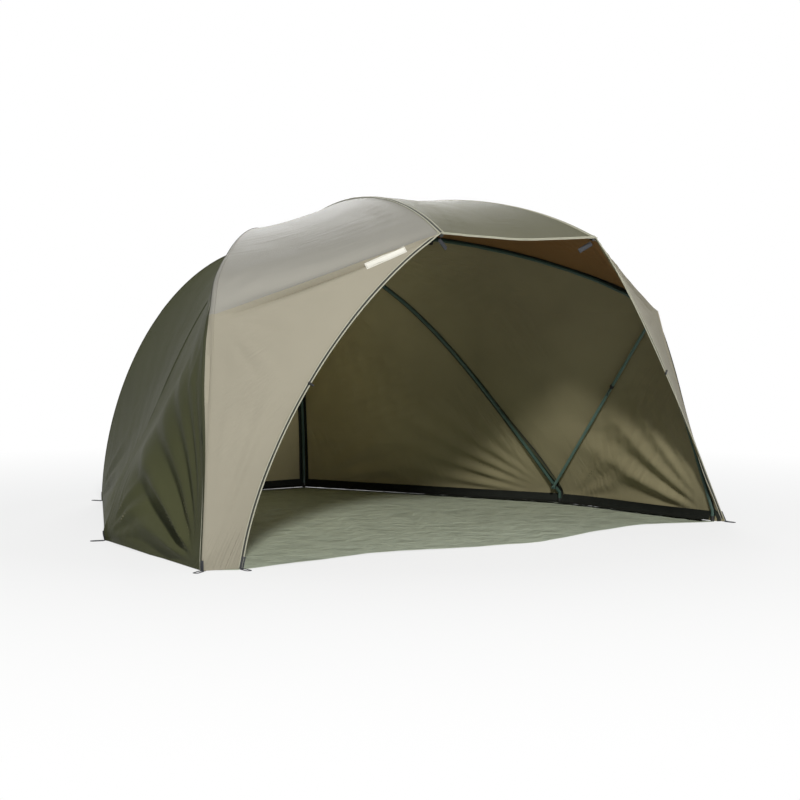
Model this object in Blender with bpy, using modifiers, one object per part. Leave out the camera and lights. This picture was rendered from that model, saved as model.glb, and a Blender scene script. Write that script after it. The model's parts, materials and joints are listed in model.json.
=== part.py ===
"""Oval fishing umbrella on eight ribs, with groundsheet.

World frame in metres: +Z up, the ground at z = 0, the open front faces -Y, +X is to the right
as one looks out from the back. Each rib is a plane curve from a hinge pin in the head to its tip
or foot. Each cover panel lies over one rib, from the middle of the gap on one side of it to the
middle of the gap on the other side, so that it can gather to that rib when the umbrella closes.
"""
import bpy
import bmesh
import math
import numpy as np
from mathutils import Matrix, Vector

MODEL = "fishing_umbrella"

# Head: where the eight ribs are pinned
HEAD_Y = 0.55
HEAD_Z = 1.20
PIN_CIRCLE_R = 0.042
HEAD_R = 0.056
HEAD_ABOVE = 0.010
HEAD_BELOW = 0.018
EYE_R = 0.008
PIN_R = 0.0025
TONGUE_THICK = 0.008
TONGUE_LENGTH = 0.028

# Ribs: tip or foot (x, y, z) on the right-hand side, and the two handles of the rib's curve,
# each as (distance from the head's axis, height)
PEAK_TIP = (0.37, -1.22, 1.195)
PEAK_HANDLES = ((0.715, 1.425), (1.319, 1.422))
FRONT_FOOT = (1.25, -1.00)
ELBOW_SHARE = 0.869
ELBOW_Z = 0.897
FRONT_HANDLES_RIGHT = ((0.557, 1.372), (1.600, 1.070))
FRONT_HANDLES_LEFT = ((0.557, 1.360), (1.700, 1.160))
MID_FOOT = (1.17, -0.07)
MID_HANDLES = ((0.560, 1.125), (0.850, 0.690))
REAR_FOOT = (0.560, 1.235)
REAR_HANDLES = ((0.480, 1.200), (0.850, 0.640))

# Rib tube and its fittings
TUBE_R = 0.008
TIP_CAP_LENGTH = 0.024
FOOT_RUN_OUT = 0.050
ELBOW_R = 0.0115
ELBOW_BACK = 0.055
ELBOW_SEAT = 0.031
LEG_TONGUE_LENGTH = 0.052
ELBOW_UNDERCUT = 0.042
ELBOW_FRONT = 0.010
SADDLE_LENGTH = 0.040
SADDLE_WIDTH = 0.022
SADDLE_DEPTH = 0.024
FRONT_SADDLE_RUN = 0.693
MID_SADDLE_RUN = 0.448

# Centre stub, lock collar and its button
STUB_R = 0.0125
STUB_LENGTH = 0.200
STUB_GRIP_R = 0.018
STUB_GRIP_LENGTH = 0.040
COLLAR_R = 0.030
COLLAR_HEIGHT = 0.032
BUTTON_R = 0.006
BUTTON_PROUD = 0.005
BUTTON_SEAT = 0.008

# Side struts from each middle foot to the elbow in front of it
STRUT_R = 0.007
STRUT_PIN_Z = 0.085
STRUT_BRACKET_LENGTH = 0.018
STRUT_BRACKET_WALL = 0.004
STRUT_BRACKET_CLEAR = 0.003
STRUT_ELBOW_CLEAR = 0.003
STRUT_LUG_REACH = 0.026
STRUT_PAST_ELBOW = 0.004
TIE_SHARE = 0.60
TIE_WIDTH = 0.026
TIE_THICK = 0.0016

# Cover
CLOTH = 0.0016
PANEL_INSET = 0.0008
COVER_OPEN_R = 0.074
CAP_R = 0.095
CAP_RISE = 0.018
CAP_THICK = 0.0025
ELBOW_COVER_EXTRA = 0.0075
BRACKET_COVER_EXTRA = 0.0060
STRUT_RIDGE = 0.098
STRUT_RIDGE_WIDTH = 0.260
EDGE_HANDLES_RIGHT = ((0.740, -1.070, 0.970), (1.100, -1.000, 0.420))
EDGE_FOOT_RIGHT = (1.290, -1.035)
EDGE_HANDLES_LEFT = ((0.720, -1.070, 0.930), (1.020, -1.000, 0.420))
EDGE_FOOT_LEFT = (1.120, -1.040)
HEM_Z = 0.002
SAG_ROOF = 0.012
SAG_FRONT = 0.018
SAG_SIDE = 0.020
SAG_REAR = 0.045

# Label tab and peg loops
LABEL_LENGTH = 0.150
LABEL_WIDTH = 0.026
LABEL_THICK = 0.0010
LABEL_SHARE = 0.24
LABEL_BELOW_CREASE = 0.020
LOOP_LENGTH = 0.060
LOOP_WIDTH = 0.026
LOOP_THICK = 0.0025
LOOP_BAND = 0.012

# Groundsheet
SHEET_THICK = 0.002
SHEET_FRONT_Y = -1.050
SHEET_FRONT_X = (-1.085, 1.185)
SHEET_TO_FOOT = 0.0005
SHEET_WAVE = 0.006

GAP = 0.0003
ROWS_UP = 13
ROWS_DOWN = 11
WING_COLS = 9
REAR_COLS = 5

SIDES = {"right": 1, "left": -1}


# Materials and collections


COLOURS = {
    "cover_cloth": ((0.115, 0.110, 0.075), 0.55, 0.0),
    "rib_tube": ((0.028, 0.050, 0.042), 0.38, 0.6),
    "black_plastic": ((0.012, 0.012, 0.012), 0.45, 0.0),
    "black_webbing": ((0.016, 0.018, 0.020), 0.85, 0.0),
    "sheet_cloth": ((0.175, 0.195, 0.150), 0.70, 0.0),
    "label_cloth": ((0.680, 0.660, 0.600), 0.60, 0.0),
    "strut_tube": ((0.060, 0.110, 0.095), 0.35, 0.6),
}


def clear_scene():
    for ob in list(bpy.data.objects):
        bpy.data.objects.remove(ob, do_unlink=True)


def make_material(name):
    colour, roughness, metallic = COLOURS[name]
    mat = bpy.data.materials.new(name)
    mat.use_nodes = True
    shader = mat.node_tree.nodes["Principled BSDF"]
    shader.inputs["Base Color"].default_value = (*colour, 1.0)
    shader.inputs["Roughness"].default_value = roughness
    shader.inputs["Metallic"].default_value = metallic
    return mat


def make_collection(name):
    coll = bpy.data.collections.new(name)
    bpy.context.scene.collection.children.link(coll)
    return coll


clear_scene()
PARTS = make_collection(MODEL)
CUTTERS = make_collection("cutters")
MATERIALS = {name: make_material(name) for name in COLOURS}


# Small mesh helpers


def add_object(name, mesh, material=None, collection=None):
    ob = bpy.data.objects.new(name, mesh)
    (collection or PARTS).objects.link(ob)
    if material:
        ob.data.materials.append(MATERIALS[material])
    return ob


def mesh_from_bmesh(name, bm):
    bmesh.ops.recalc_face_normals(bm, faces=bm.faces)
    mesh = bpy.data.meshes.new(name)
    bm.to_mesh(mesh)
    bm.free()
    return mesh


def smooth(ob, angle=40.0):
    ob.data.shade_smooth()
    ob.data.set_sharp_from_angle(angle=math.radians(angle))


def frame_matrix(origin, x_axis, z_axis):
    """Placement whose local X and Z lie along the two given directions."""
    z = Vector(z_axis).normalized()
    x = Vector(x_axis)
    x = (x - z * x.dot(z)).normalized()
    y = z.cross(x)
    m = Matrix((x, y, z)).transposed().to_4x4()
    m.translation = Vector(origin)
    return m


def add_cylinder(bm, radius, length, matrix, segments=16):
    """A cylinder centred on the matrix, along its local Z."""
    bmesh.ops.create_cone(bm, cap_ends=True, segments=segments, radius1=radius, radius2=radius,
                          depth=length, matrix=matrix)


def add_box(bm, size, matrix):
    scale = Matrix.Diagonal((*size, 1.0))
    bmesh.ops.create_cube(bm, size=1.0, matrix=matrix @ scale)


def cylinder_mesh(name, radius, length, matrix, segments=16):
    bm = bmesh.new()
    add_cylinder(bm, radius, length, matrix, segments)
    return mesh_from_bmesh(name, bm)


def cutter_object(name, bm):
    ob = add_object(name, mesh_from_bmesh(name, bm), collection=CUTTERS)
    ob.hide_render = True
    ob.display_type = "WIRE"
    return ob


def boolean(ob, other, operation):
    mod = ob.modifiers.new(operation.lower(), "BOOLEAN")
    mod.operation = operation
    mod.object = other
    mod.solver = "EXACT"


def bake(ob):
    """Replaces the object's mesh by its evaluated one, so that it can be joined to another."""
    bpy.context.view_layer.update()
    depsgraph = bpy.context.evaluated_depsgraph_get()
    mesh = bpy.data.meshes.new_from_object(ob.evaluated_get(depsgraph))
    ob.modifiers.clear()
    ob.data = mesh
    return ob


def tube_mesh(name, points, radius, resolution=2):
    """A round tube with closed ends along the points, as one closed mesh."""
    curve = bpy.data.curves.new(name, "CURVE")
    curve.dimensions = "3D"
    curve.bevel_depth = radius
    curve.bevel_resolution = resolution
    curve.use_fill_caps = True
    spline = curve.splines.new("POLY")
    spline.points.add(len(points) - 1)
    for point, co in zip(spline.points, points):
        point.co = (*co, 1.0)
    guide = bpy.data.objects.new(name + "_route", curve)
    PARTS.objects.link(guide)
    bpy.context.view_layer.update()
    depsgraph = bpy.context.evaluated_depsgraph_get()
    mesh = bpy.data.meshes.new_from_object(guide.evaluated_get(depsgraph))
    mesh.name = name
    bm = bmesh.new()
    bm.from_mesh(mesh)
    bmesh.ops.remove_doubles(bm, verts=bm.verts, dist=0.00002)
    bmesh.ops.recalc_face_normals(bm, faces=bm.faces)
    bm.to_mesh(mesh)
    bm.free()
    mesh.materials.clear()
    bpy.data.objects.remove(guide, do_unlink=True)
    return mesh


# Rib curves: plane curves worked out in (run, height) and placed in the rib's upright plane


def bezier(points, count=200):
    """Points along the cubic curve with the four given control points."""
    p = np.array(points, float)
    t = np.linspace(0.0, 1.0, count)[:, None]
    return ((1 - t) ** 3 * p[0] + 3 * t * (1 - t) ** 2 * p[1]
            + 3 * t ** 2 * (1 - t) * p[2] + t ** 3 * p[3])


def arc_lengths(points):
    steps = np.linalg.norm(np.diff(points, axis=0), axis=1)
    return np.concatenate([[0.0], np.cumsum(steps)])


def resample(points, count):
    """The curve again with count points at even spacing."""
    s = arc_lengths(points)
    at = np.linspace(0.0, s[-1], count)
    return np.stack([np.interp(at, s, points[:, i]) for i in range(points.shape[1])], 1)


def cut_by_length(points, start, end):
    """The stretch of a curve between two lengths along it."""
    s = arc_lengths(points)
    inner = points[(s > start) & (s < end)]
    ends = [np.array([np.interp(at, s, points[:, i]) for i in range(points.shape[1])])
            for at in (start, end)]
    return np.vstack([ends[0], inner, ends[1]])


class Rib:
    """One rib: its upright plane, and its curve as (run, height) from pin to tip."""

    def __init__(self, side, end_xy, curve):
        self.side = side
        self.e = np.array([end_xy[0], end_xy[1] - HEAD_Y, 0.0])
        self.reach = float(np.linalg.norm(self.e))
        self.e = self.e / self.reach
        self.curve = curve

    def place(self, flat):
        """World points, on the rib's own side, of points given as (run, height)."""
        flat = np.atleast_2d(flat)
        world = flat[:, :1] * self.e + np.array([0.0, HEAD_Y, 0.0])
        world[:, 2] = flat[:, 1]
        world[:, 0] *= self.side
        return world

    def outward(self):
        return Vector((self.e[0] * self.side, self.e[1], 0.0))

    def across(self):
        """Horizontal direction square to the rib's plane."""
        return Vector((0.0, 0.0, 1.0)).cross(self.outward())

    def direction(self, angle):
        """Unit direction in the rib's plane, at an angle above level."""
        return self.outward() * math.cos(angle) + Vector((0.0, 0.0, 1.0)) * math.sin(angle)


def slope_at(points, index):
    """Angle above level of the straight length that starts at the index (-1 for the last one)."""
    a, b = (points[-2], points[-1]) if index < 0 else (points[index], points[index + 1])
    return math.atan2(b[1] - a[1], b[0] - a[0])


def upper_line(curve, split_z=None):
    """Straight lengths for the part of a rib above the eaves: pin, cover's rim, then its rows."""
    s = arc_lengths(curve)
    start = np.interp(COVER_OPEN_R, curve[:, 0], s)
    end = s[-1]
    if split_z is not None:
        end = s[np.where((curve[:, 1] <= split_z) & (s > start))[0][0]]
    rows = resample(cut_by_length(curve, start, end), ROWS_UP)
    return np.vstack([curve[:1], rows]), end


def lower_line(curve, start, foot_run):
    """Straight lengths from the eaves to the ground; the last one stands upright at the foot."""
    s = arc_lengths(curve)
    rows = resample(cut_by_length(curve, start, s[-1]), ROWS_DOWN - 1)
    return np.vstack([rows[1:], [[foot_run, 0.0]]])


def foot_line(start, handles, foot_run):
    """A rib that reaches the ground in one piece."""
    arch = bezier([start, *handles, (foot_run, FOOT_RUN_OUT)], 2000)
    upper, split = upper_line(arch, ELBOW_Z)
    return np.vstack([upper, lower_line(arch, split, foot_run)])


def make_ribs(side_name):
    side = SIDES[side_name]
    pin = (PIN_CIRCLE_R, HEAD_Z)
    ribs = {}
    peak_reach = math.hypot(PEAK_TIP[0], PEAK_TIP[1] - HEAD_Y)
    peak = bezier([pin, *PEAK_HANDLES, (peak_reach, PEAK_TIP[2])], 2000)
    ribs["peak"] = Rib(side, PEAK_TIP[:2], upper_line(peak)[0])
    front_reach = math.hypot(FRONT_FOOT[0], FRONT_FOOT[1] - HEAD_Y)
    handles = FRONT_HANDLES_RIGHT if side > 0 else FRONT_HANDLES_LEFT
    elbow = (ELBOW_SHARE * front_reach, ELBOW_Z)
    ribs["front"] = Rib(side, FRONT_FOOT, upper_line(bezier([pin, *handles, elbow], 2000))[0])
    leg = np.linspace(elbow, (front_reach, FOOT_RUN_OUT), 50)
    ribs["leg"] = Rib(side, FRONT_FOOT, np.vstack([[elbow], lower_line(leg, 0.0, front_reach)]))
    for name, foot, shape in (("mid", MID_FOOT, MID_HANDLES), ("rear", REAR_FOOT, REAR_HANDLES)):
        reach = math.hypot(foot[0], foot[1] - HEAD_Y)
        ribs[name] = Rib(side, foot, foot_line(pin, shape, reach))
    return ribs


RIBS = {name: make_ribs(name) for name in SIDES}


# Rigid frame


def add_tongue(name, pin, along, across, tube, material="rib_tube", pin_r=PIN_R,
               reach=TONGUE_LENGTH):
    """Joins a flat tongue, with an eye on the pin, to the end of a tube."""
    bm = bmesh.new()
    add_cylinder(bm, EYE_R, TONGUE_THICK, frame_matrix(pin, along, across), 20)
    eye = cutter_object(name + "_eye", bm)
    bm = bmesh.new()
    bar = reach + TUBE_R
    size = (bar, EYE_R * 1.3, TONGUE_THICK * 0.97)
    add_box(bm, size, frame_matrix(pin + along * bar / 2, along, across))
    bar_ob = cutter_object(name + "_bar", bm)
    bm = bmesh.new()
    add_cylinder(bm, pin_r + GAP, TONGUE_THICK * 2, frame_matrix(pin, along, across), 12)
    hole = cutter_object(name + "_hole", bm)
    ob = add_object(name, tube, material)
    boolean(ob, bar_ob, "UNION")
    boolean(ob, eye, "UNION")
    boolean(ob, hole, "DIFFERENCE")
    bake(ob)
    smooth(ob)
    return ob


def tube_points(line, start, end):
    """The line's own corners between two lengths along it, so that tube and cover run alike."""
    return cut_by_length(line, start, end)


def make_upper_ribs(side_name):
    """The four ribs that turn in the head on one side."""
    ribs = RIBS[side_name]
    pin = (PIN_CIRCLE_R, HEAD_Z)
    for key, short in (("peak", TIP_CAP_LENGTH + GAP), ("front", ELBOW_SEAT),
                       ("mid", TIP_CAP_LENGTH + GAP), ("rear", TIP_CAP_LENGTH + GAP)):
        rib = ribs[key]
        total = arc_lengths(rib.curve)[-1]
        flat = tube_points(rib.curve, TONGUE_LENGTH, total - short)
        name = f"{key}_rib_{side_name}"
        tube = tube_mesh(name, rib.place(flat), TUBE_R)
        angle = slope_at(rib.curve, 0)
        add_tongue(name, Vector(rib.place(pin)[0]), rib.direction(angle), rib.across(), tube)


def make_legs(side_name):
    """The lower part of the front rib, which folds at the elbow."""
    rib = RIBS[side_name]["leg"]
    elbow = rib.curve[0]
    angle = slope_at(rib.curve, 0)
    total = arc_lengths(rib.curve)[-1]
    flat = tube_points(rib.curve, LEG_TONGUE_LENGTH, total - TIP_CAP_LENGTH - GAP)
    name = f"front_leg_{side_name}"
    tube = tube_mesh(name, rib.place(flat), TUBE_R)
    add_tongue(name, Vector(rib.place(elbow)[0]), rib.direction(angle), rib.across(), tube,
               reach=LEG_TONGUE_LENGTH)


def make_elbow(side_name):
    """Socket on the end of the front rib, with a slot and a pin for the leg's tongue."""
    rib = RIBS[side_name]["front"]
    curve = rib.curve
    angle = slope_at(curve, -1)
    elbow = curve[-1]
    pin = Vector(rib.place(elbow)[0])
    along = rib.direction(angle)
    across = rib.across()
    length = ELBOW_BACK + ELBOW_FRONT
    centre = pin + along * (ELBOW_FRONT - ELBOW_BACK) / 2
    name = f"elbow_{side_name}"
    ob = add_object(name, cylinder_mesh(name, ELBOW_R, length, frame_matrix(centre, across, along), 20),
                    "black_plastic")
    bm = bmesh.new()
    back = pin - along * (ELBOW_SEAT + 0.05)
    add_cylinder(bm, TUBE_R + GAP, 0.10 + GAP * 2, frame_matrix(back, across, along), 16)
    bore = cutter_object(name + "_bore", bm)
    bm = bmesh.new()
    slot_length = EYE_R + ELBOW_FRONT + 0.012
    slot_at = pin + along * (ELBOW_FRONT + 0.010 - EYE_R - 0.002) / 2
    add_box(bm, (TONGUE_THICK + GAP * 4, ELBOW_R * 4, slot_length), frame_matrix(slot_at, across, along))
    slot = cutter_object(name + "_slot", bm)
    bm = bmesh.new()
    under = rib.direction(angle - math.pi / 2)
    depth = ELBOW_R * 2
    under_at = pin - along * ELBOW_UNDERCUT / 2 + under * depth / 2
    add_box(bm, (TONGUE_THICK + GAP * 4, depth, ELBOW_UNDERCUT), frame_matrix(under_at, across, along))
    undercut = cutter_object(name + "_undercut", bm)
    bm = bmesh.new()
    add_cylinder(bm, PIN_R, ELBOW_R * 1.6, frame_matrix(pin, along, across), 12)
    pin_ob = cutter_object(name + "_pin", bm)
    boolean(ob, bore, "DIFFERENCE")
    boolean(ob, slot, "DIFFERENCE")
    boolean(ob, undercut, "DIFFERENCE")
    boolean(ob, pin_ob, "UNION")
    bake(ob)
    smooth(ob)


def make_head():
    """Head: a disc with eight slots, each with a cross pin."""
    bm = bmesh.new()
    height = HEAD_ABOVE + HEAD_BELOW
    centre = Vector((0.0, HEAD_Y, HEAD_Z + (HEAD_ABOVE - HEAD_BELOW) / 2))
    add_cylinder(bm, HEAD_R, height, Matrix.Translation(centre), 48)
    head = add_object("head", mesh_from_bmesh("head", bm), "black_plastic")
    slots = bmesh.new()
    pins = bmesh.new()
    for ribs in RIBS.values():
        for key in ("peak", "front", "mid", "rear"):
            rib = ribs[key]
            pin = Vector(rib.place((PIN_CIRCLE_R, HEAD_Z))[0])
            out = rib.outward()
            across = rib.across()
            inner = PIN_CIRCLE_R - EYE_R - GAP * 3
            length = HEAD_R * 1.3 - inner
            middle = Vector((0.0, HEAD_Y, centre.z)) + out * (inner + length / 2)
            add_box(slots, (length, TONGUE_THICK + GAP * 2, height * 1.5),
                    frame_matrix(middle, out, (0, 0, 1)))
            add_cylinder(pins, PIN_R, TONGUE_THICK + 0.005, frame_matrix(pin, out, across), 12)
    boolean(head, cutter_object("head_slots", slots), "DIFFERENCE")
    boolean(head, cutter_object("head_pins", pins), "UNION")
    bake(head)
    smooth(head)


def turned(name, profile, material, centre, steps=24):
    """A turned piece from a profile of (radius, height), listed down its outer side."""
    mesh = bpy.data.meshes.new(name)
    closed = list(profile)
    verts = [(r, 0.0, z) for r, z in closed]
    edges = [(i, i + 1) for i in range(len(verts) - 1)]
    mesh.from_pydata(verts, edges, [])
    ob = add_object(name, mesh, material)
    ob.location = centre
    screw = ob.modifiers.new("turn", "SCREW")
    screw.axis = "Z"
    screw.steps = steps
    screw.render_steps = steps
    screw.use_merge_vertices = True
    screw.merge_threshold = 0.00001
    bake(ob)
    bm = bmesh.new()
    bm.from_mesh(ob.data)
    bmesh.ops.remove_doubles(bm, verts=bm.verts, dist=0.00001)
    bmesh.ops.recalc_face_normals(bm, faces=bm.faces)
    bm.to_mesh(ob.data)
    bm.free()
    ob.data.materials.clear()
    ob.data.materials.append(MATERIALS[material])
    smooth(ob)
    return ob


def make_centre():
    """Stub pole under the head, the lock collar that slides on it, its button and the top cap."""
    under_head = HEAD_Z - HEAD_BELOW - GAP
    axis = Vector((0.0, HEAD_Y, 0.0))
    stub_bottom = under_head - STUB_LENGTH
    turned("centre_stub", [(0.0, under_head), (STUB_R, under_head), (STUB_R, stub_bottom),
                           (0.0, stub_bottom)], "rib_tube", axis)
    grip_top = stub_bottom - GAP
    grip_bottom = grip_top - STUB_GRIP_LENGTH
    turned("stub_grip", [(0.0, grip_top), (STUB_R, grip_top), (STUB_GRIP_R, grip_top - 0.006),
                         (STUB_GRIP_R, grip_bottom + 0.006), (STUB_R, grip_bottom),
                         (0.0, grip_bottom)], "black_plastic", axis)
    top = under_head
    bottom = top - COLLAR_HEIGHT
    inner = STUB_R + GAP
    collar = turned("lock_collar", [(inner, top), (COLLAR_R - 0.003, top), (COLLAR_R, top - 0.003),
                                    (COLLAR_R, bottom + 0.003), (COLLAR_R - 0.003, bottom),
                                    (inner, bottom), (inner, top)], "black_plastic", axis)
    middle = Vector((0.0, HEAD_Y, (top + bottom) / 2))
    front = Vector((0.0, -1.0, 0.0))
    bm = bmesh.new()
    seat_at = middle + front * (COLLAR_R - BUTTON_SEAT + 0.02)
    add_cylinder(bm, BUTTON_R + GAP, 0.04, frame_matrix(seat_at, (1, 0, 0), front), 16)
    boolean(collar, cutter_object("button_seat", bm), "DIFFERENCE")
    bake(collar)
    smooth(collar)
    length = BUTTON_PROUD + BUTTON_SEAT - BUTTON_SEAT / 2
    at = middle + front * (COLLAR_R - BUTTON_SEAT / 2 + length / 2)
    button = add_object("collar_button", cylinder_mesh("collar_button", BUTTON_R, length,
                        frame_matrix(at, (1, 0, 0), front), 16), "black_plastic")
    smooth(button)


def make_tip_caps(side_name):
    """Caps on the feet, which stand flat on the ground, and on the ends of the peak ribs."""
    ribs = RIBS[side_name]
    for key in ("leg", "mid", "rear"):
        rib = ribs[key]
        name = f"{'front' if key == 'leg' else key}_foot_{side_name}"
        at = Vector(rib.place((rib.reach, TIP_CAP_LENGTH / 2))[0])
        foot = add_object(name, cylinder_mesh(name, TUBE_R, TIP_CAP_LENGTH, Matrix.Translation(at), 12),
                          "black_plastic")
        smooth(foot)
    rib = ribs["peak"]
    curve = rib.curve
    along = rib.direction(slope_at(curve, -1))
    tip = Vector(rib.place(curve[-1])[0])
    name = f"peak_tip_{side_name}"
    at = tip - along * TIP_CAP_LENGTH / 2
    cap = add_object(name, cylinder_mesh(name, TUBE_R, TIP_CAP_LENGTH, frame_matrix(at, rib.across(), along), 12),
                     "black_plastic")
    smooth(cap)


def point_at_run(curve, run):
    """Middle and slope of the straight length of a rib that passes a distance from the axis."""
    index = int(np.argmax(curve[:, 0] >= run))
    return (curve[index - 1] + curve[index]) / 2, slope_at(curve, index - 1)


def make_saddle(side_name, key, run):
    """Moulded saddle clipped under a rib where its two lengths of tube join."""
    rib = RIBS[side_name][key]
    at_flat, angle = point_at_run(rib.curve, run)
    at = Vector(rib.place(at_flat)[0])
    along = rib.direction(angle)
    across = rib.across()
    up = rib.direction(angle + math.pi / 2)
    name = f"{key}_saddle_{side_name}"
    bm = bmesh.new()
    depth = SADDLE_DEPTH
    centre = at - up * (depth / 2 + 0.001)
    add_box(bm, (SADDLE_LENGTH, SADDLE_WIDTH, depth), frame_matrix(centre, along, up))
    bmesh.ops.bevel(bm, geom=bm.edges[:], offset=0.003, segments=1, affect="EDGES")
    ob = add_object(name, mesh_from_bmesh(name, bm), "black_plastic")
    bm = bmesh.new()
    add_cylinder(bm, TUBE_R + GAP, SADDLE_LENGTH * 2, frame_matrix(at, across, along), 20)
    groove = cutter_object(name + "_groove", bm)
    boolean(ob, groove, "DIFFERENCE")
    bake(ob)
    smooth(ob, 30.0)


def strut_line(side_name):
    """Where the strut turns on the middle rib and where it ends beside the elbow.

    Gives the point on the rib, the elbow, the direction between them, the turning axis, which
    points into the shelter, and the rib's own direction there.
    """
    ribs = RIBS[side_name]
    mid = ribs["mid"]
    index = len(mid.curve) - 3
    while mid.curve[index, 1] < STRUT_PIN_Z:
        index -= 1
    a, b = mid.curve[index], mid.curve[index + 1]
    flat = a + (b - a) * (a[1] - STRUT_PIN_Z) / (a[1] - b[1])
    base = Vector(mid.place(flat)[0])
    elbow = Vector(ribs["front"].place(ribs["front"].curve[-1])[0])
    head = Vector(mid.place((PIN_CIRCLE_R, HEAD_Z))[0])
    direction = (elbow - base).normalized()
    axis = direction.cross((head - base).normalized()).normalized() * SIDES[side_name]
    return base, elbow, direction, axis, mid.direction(slope_at(mid.curve, index))


def strut_ends(side_name):
    """Centres of the strut's eye and of its top end."""
    base, elbow, direction, axis, rib_along = strut_line(side_name)
    eye_at = base + axis * (TUBE_R + STRUT_BRACKET_WALL + STRUT_BRACKET_CLEAR + TONGUE_THICK / 2)
    top = elbow + axis * (ELBOW_R + STRUT_R + STRUT_ELBOW_CLEAR) + direction * STRUT_PAST_ELBOW
    return eye_at, top


def make_strut(side_name):
    """Side strut with an eye at its foot, its bracket on the middle rib, and its cloth tie."""
    base, elbow, direction, axis, rib_along = strut_line(side_name)
    bracket_name = f"strut_bracket_{side_name}"
    bm = bmesh.new()
    add_cylinder(bm, TUBE_R + GAP + STRUT_BRACKET_WALL, STRUT_BRACKET_LENGTH,
                 frame_matrix(base, axis, rib_along), 20)
    bracket = add_object(bracket_name, mesh_from_bmesh(bracket_name, bm), "black_plastic")
    bm = bmesh.new()
    add_cylinder(bm, PIN_R * 1.6, STRUT_LUG_REACH, frame_matrix(base + axis * STRUT_LUG_REACH / 2,
                 direction, axis), 12)
    lug = cutter_object(bracket_name + "_lug", bm)
    bm = bmesh.new()
    add_cylinder(bm, TUBE_R + GAP, STRUT_BRACKET_LENGTH * 3, frame_matrix(base, axis, rib_along), 16)
    bore = cutter_object(bracket_name + "_bore", bm)
    boolean(bracket, lug, "UNION")
    boolean(bracket, bore, "DIFFERENCE")
    bake(bracket)
    smooth(bracket)
    eye_at, top = strut_ends(side_name)
    along = (top - eye_at).normalized()
    name = f"side_strut_{side_name}"
    start = eye_at + along * TONGUE_LENGTH * 0.8
    across = (axis - along * axis.dot(along)).normalized()
    tube = tube_mesh(name, [start, start.lerp(top, 0.5), top], STRUT_R)
    add_tongue(name, eye_at, along, across, tube, "strut_tube", PIN_R * 1.6)
    inner = STRUT_R + GAP
    outer = inner + TIE_THICK
    half = TIE_WIDTH / 2
    tie = turned(f"strut_tie_{side_name}", [(inner, half), (outer, half), (outer, -half),
                 (inner, -half), (inner, half)], "black_webbing", (0, 0, 0), 16)
    at = start.lerp(top, TIE_SHARE)
    tie.matrix_world = frame_matrix(at, axis, along)


# Cover: ruled cloth between neighbouring ribs, wrapped over each rib


def cover_rows(rib, first=1):
    """(run, height) of the rib's centre line at the cover's rows, the last one at the hem."""
    rows = rib.curve[first:].copy()
    rows[-1, 1] = max(rows[-1, 1], HEM_Z)
    return rows


def rib_frame_rows(rib, flat):
    """Centre points at the rows and outward normals in the rib's plane, on the +X side.

    At each corner the normal halves the bend and is longer by 1 / cos(half bend), so that cloth
    set off by it keeps its distance from the straight lengths on both sides.
    """
    d = np.diff(flat, axis=0)
    d /= np.linalg.norm(d, axis=1)[:, None]
    before = np.vstack([d[:1], d])
    after = np.vstack([d, d[-1:]])
    both = before + after
    both /= np.linalg.norm(both, axis=1)[:, None]
    stretch = 1.0 / np.einsum("ij,ij->i", both, before)
    centre = flat[:, :1] * rib.e + np.array([0.0, HEAD_Y, 0.0])
    centre[:, 2] = flat[:, 1]
    out = -both[:, 1:] * stretch[:, None] * rib.e
    out[:, 2] = both[:, 0] * stretch
    across = np.cross([0.0, 0.0, 1.0], rib.e)
    return centre, out, np.broadcast_to(across, centre.shape)


def tangent_line(centre, out, across, radius, target, sense):
    """Where cloth stretched to the target leaves the round of the rib, and the angle there.

    The point lies 1 / cos(half angle) further out, so that the flat face between it and the
    ridge doesn't cut into the tube.
    """
    d = target - centre
    length = np.linalg.norm(out, axis=1)
    fall = -np.einsum("ij,ij->i", d, out) / length
    away = np.abs(np.einsum("ij,ij->i", d, across))
    angle = np.clip(np.arctan2(fall, away), 0.0, math.radians(80.0))
    cos, sin = np.cos(angle)[:, None], np.sin(angle)[:, None]
    reach = (radius / np.cos(angle / 2))[:, None]
    return centre + reach * (cos * out + sense * sin * across), angle


def ruled(a, b, shares, sag, inward):
    """Columns between two edges; the cloth's middle is drawn in by sag."""
    cols = []
    for u in shares:
        bow = 4.0 * u * (1.0 - u) * sag
        cols.append(a * (1 - u) + b * u + inward * np.reshape(bow, (-1, 1)))
    return cols


def taper(count, ends=1):
    """Weights that rise from 0 at the head to 1, for sag that starts from nothing."""
    return np.clip(np.linspace(0.0, 1.4, count), 0.0, 1.0)


def inward_of(a, b):
    """Direction into the shelter from the middle of a gap, level with it."""
    middle = (a + b) / 2
    centre = np.array([0.0, 0.15, 0.35])
    d = centre - middle
    return d / np.linalg.norm(d, axis=1)[:, None]


def over_strut(side_name, columns):
    """Lifts the side cloth along the strut, so that it lies over it in a soft ridge."""
    ribs = RIBS[side_name]
    mirror = np.array([SIDES[side_name], 1.0, 1.0])
    eye_at, top = (np.array(p) * mirror for p in strut_ends(side_name))
    along = top - eye_at
    length = np.linalg.norm(along)
    along /= length
    eaves = ribs["mid"].place(ribs["mid"].curve[ROWS_UP])[0] * mirror
    front_foot = ribs["leg"].place(ribs["leg"].curve[-1])[0] * mirror
    outward = np.cross(front_foot - eaves, along)
    outward /= np.linalg.norm(outward)
    outward *= np.sign(outward[0])
    beside = np.cross(outward, along)
    lifted = []
    for col in columns:
        d = col - eye_at
        away = (d @ beside) / STRUT_RIDGE_WIDTH
        share = np.clip((d @ along) / length, 0.0, 1.0)
        lift = STRUT_RIDGE * np.exp(-away ** 2) * np.sin(math.pi * share)
        lifted.append(col + outward * lift[:, None])
    return lifted


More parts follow.
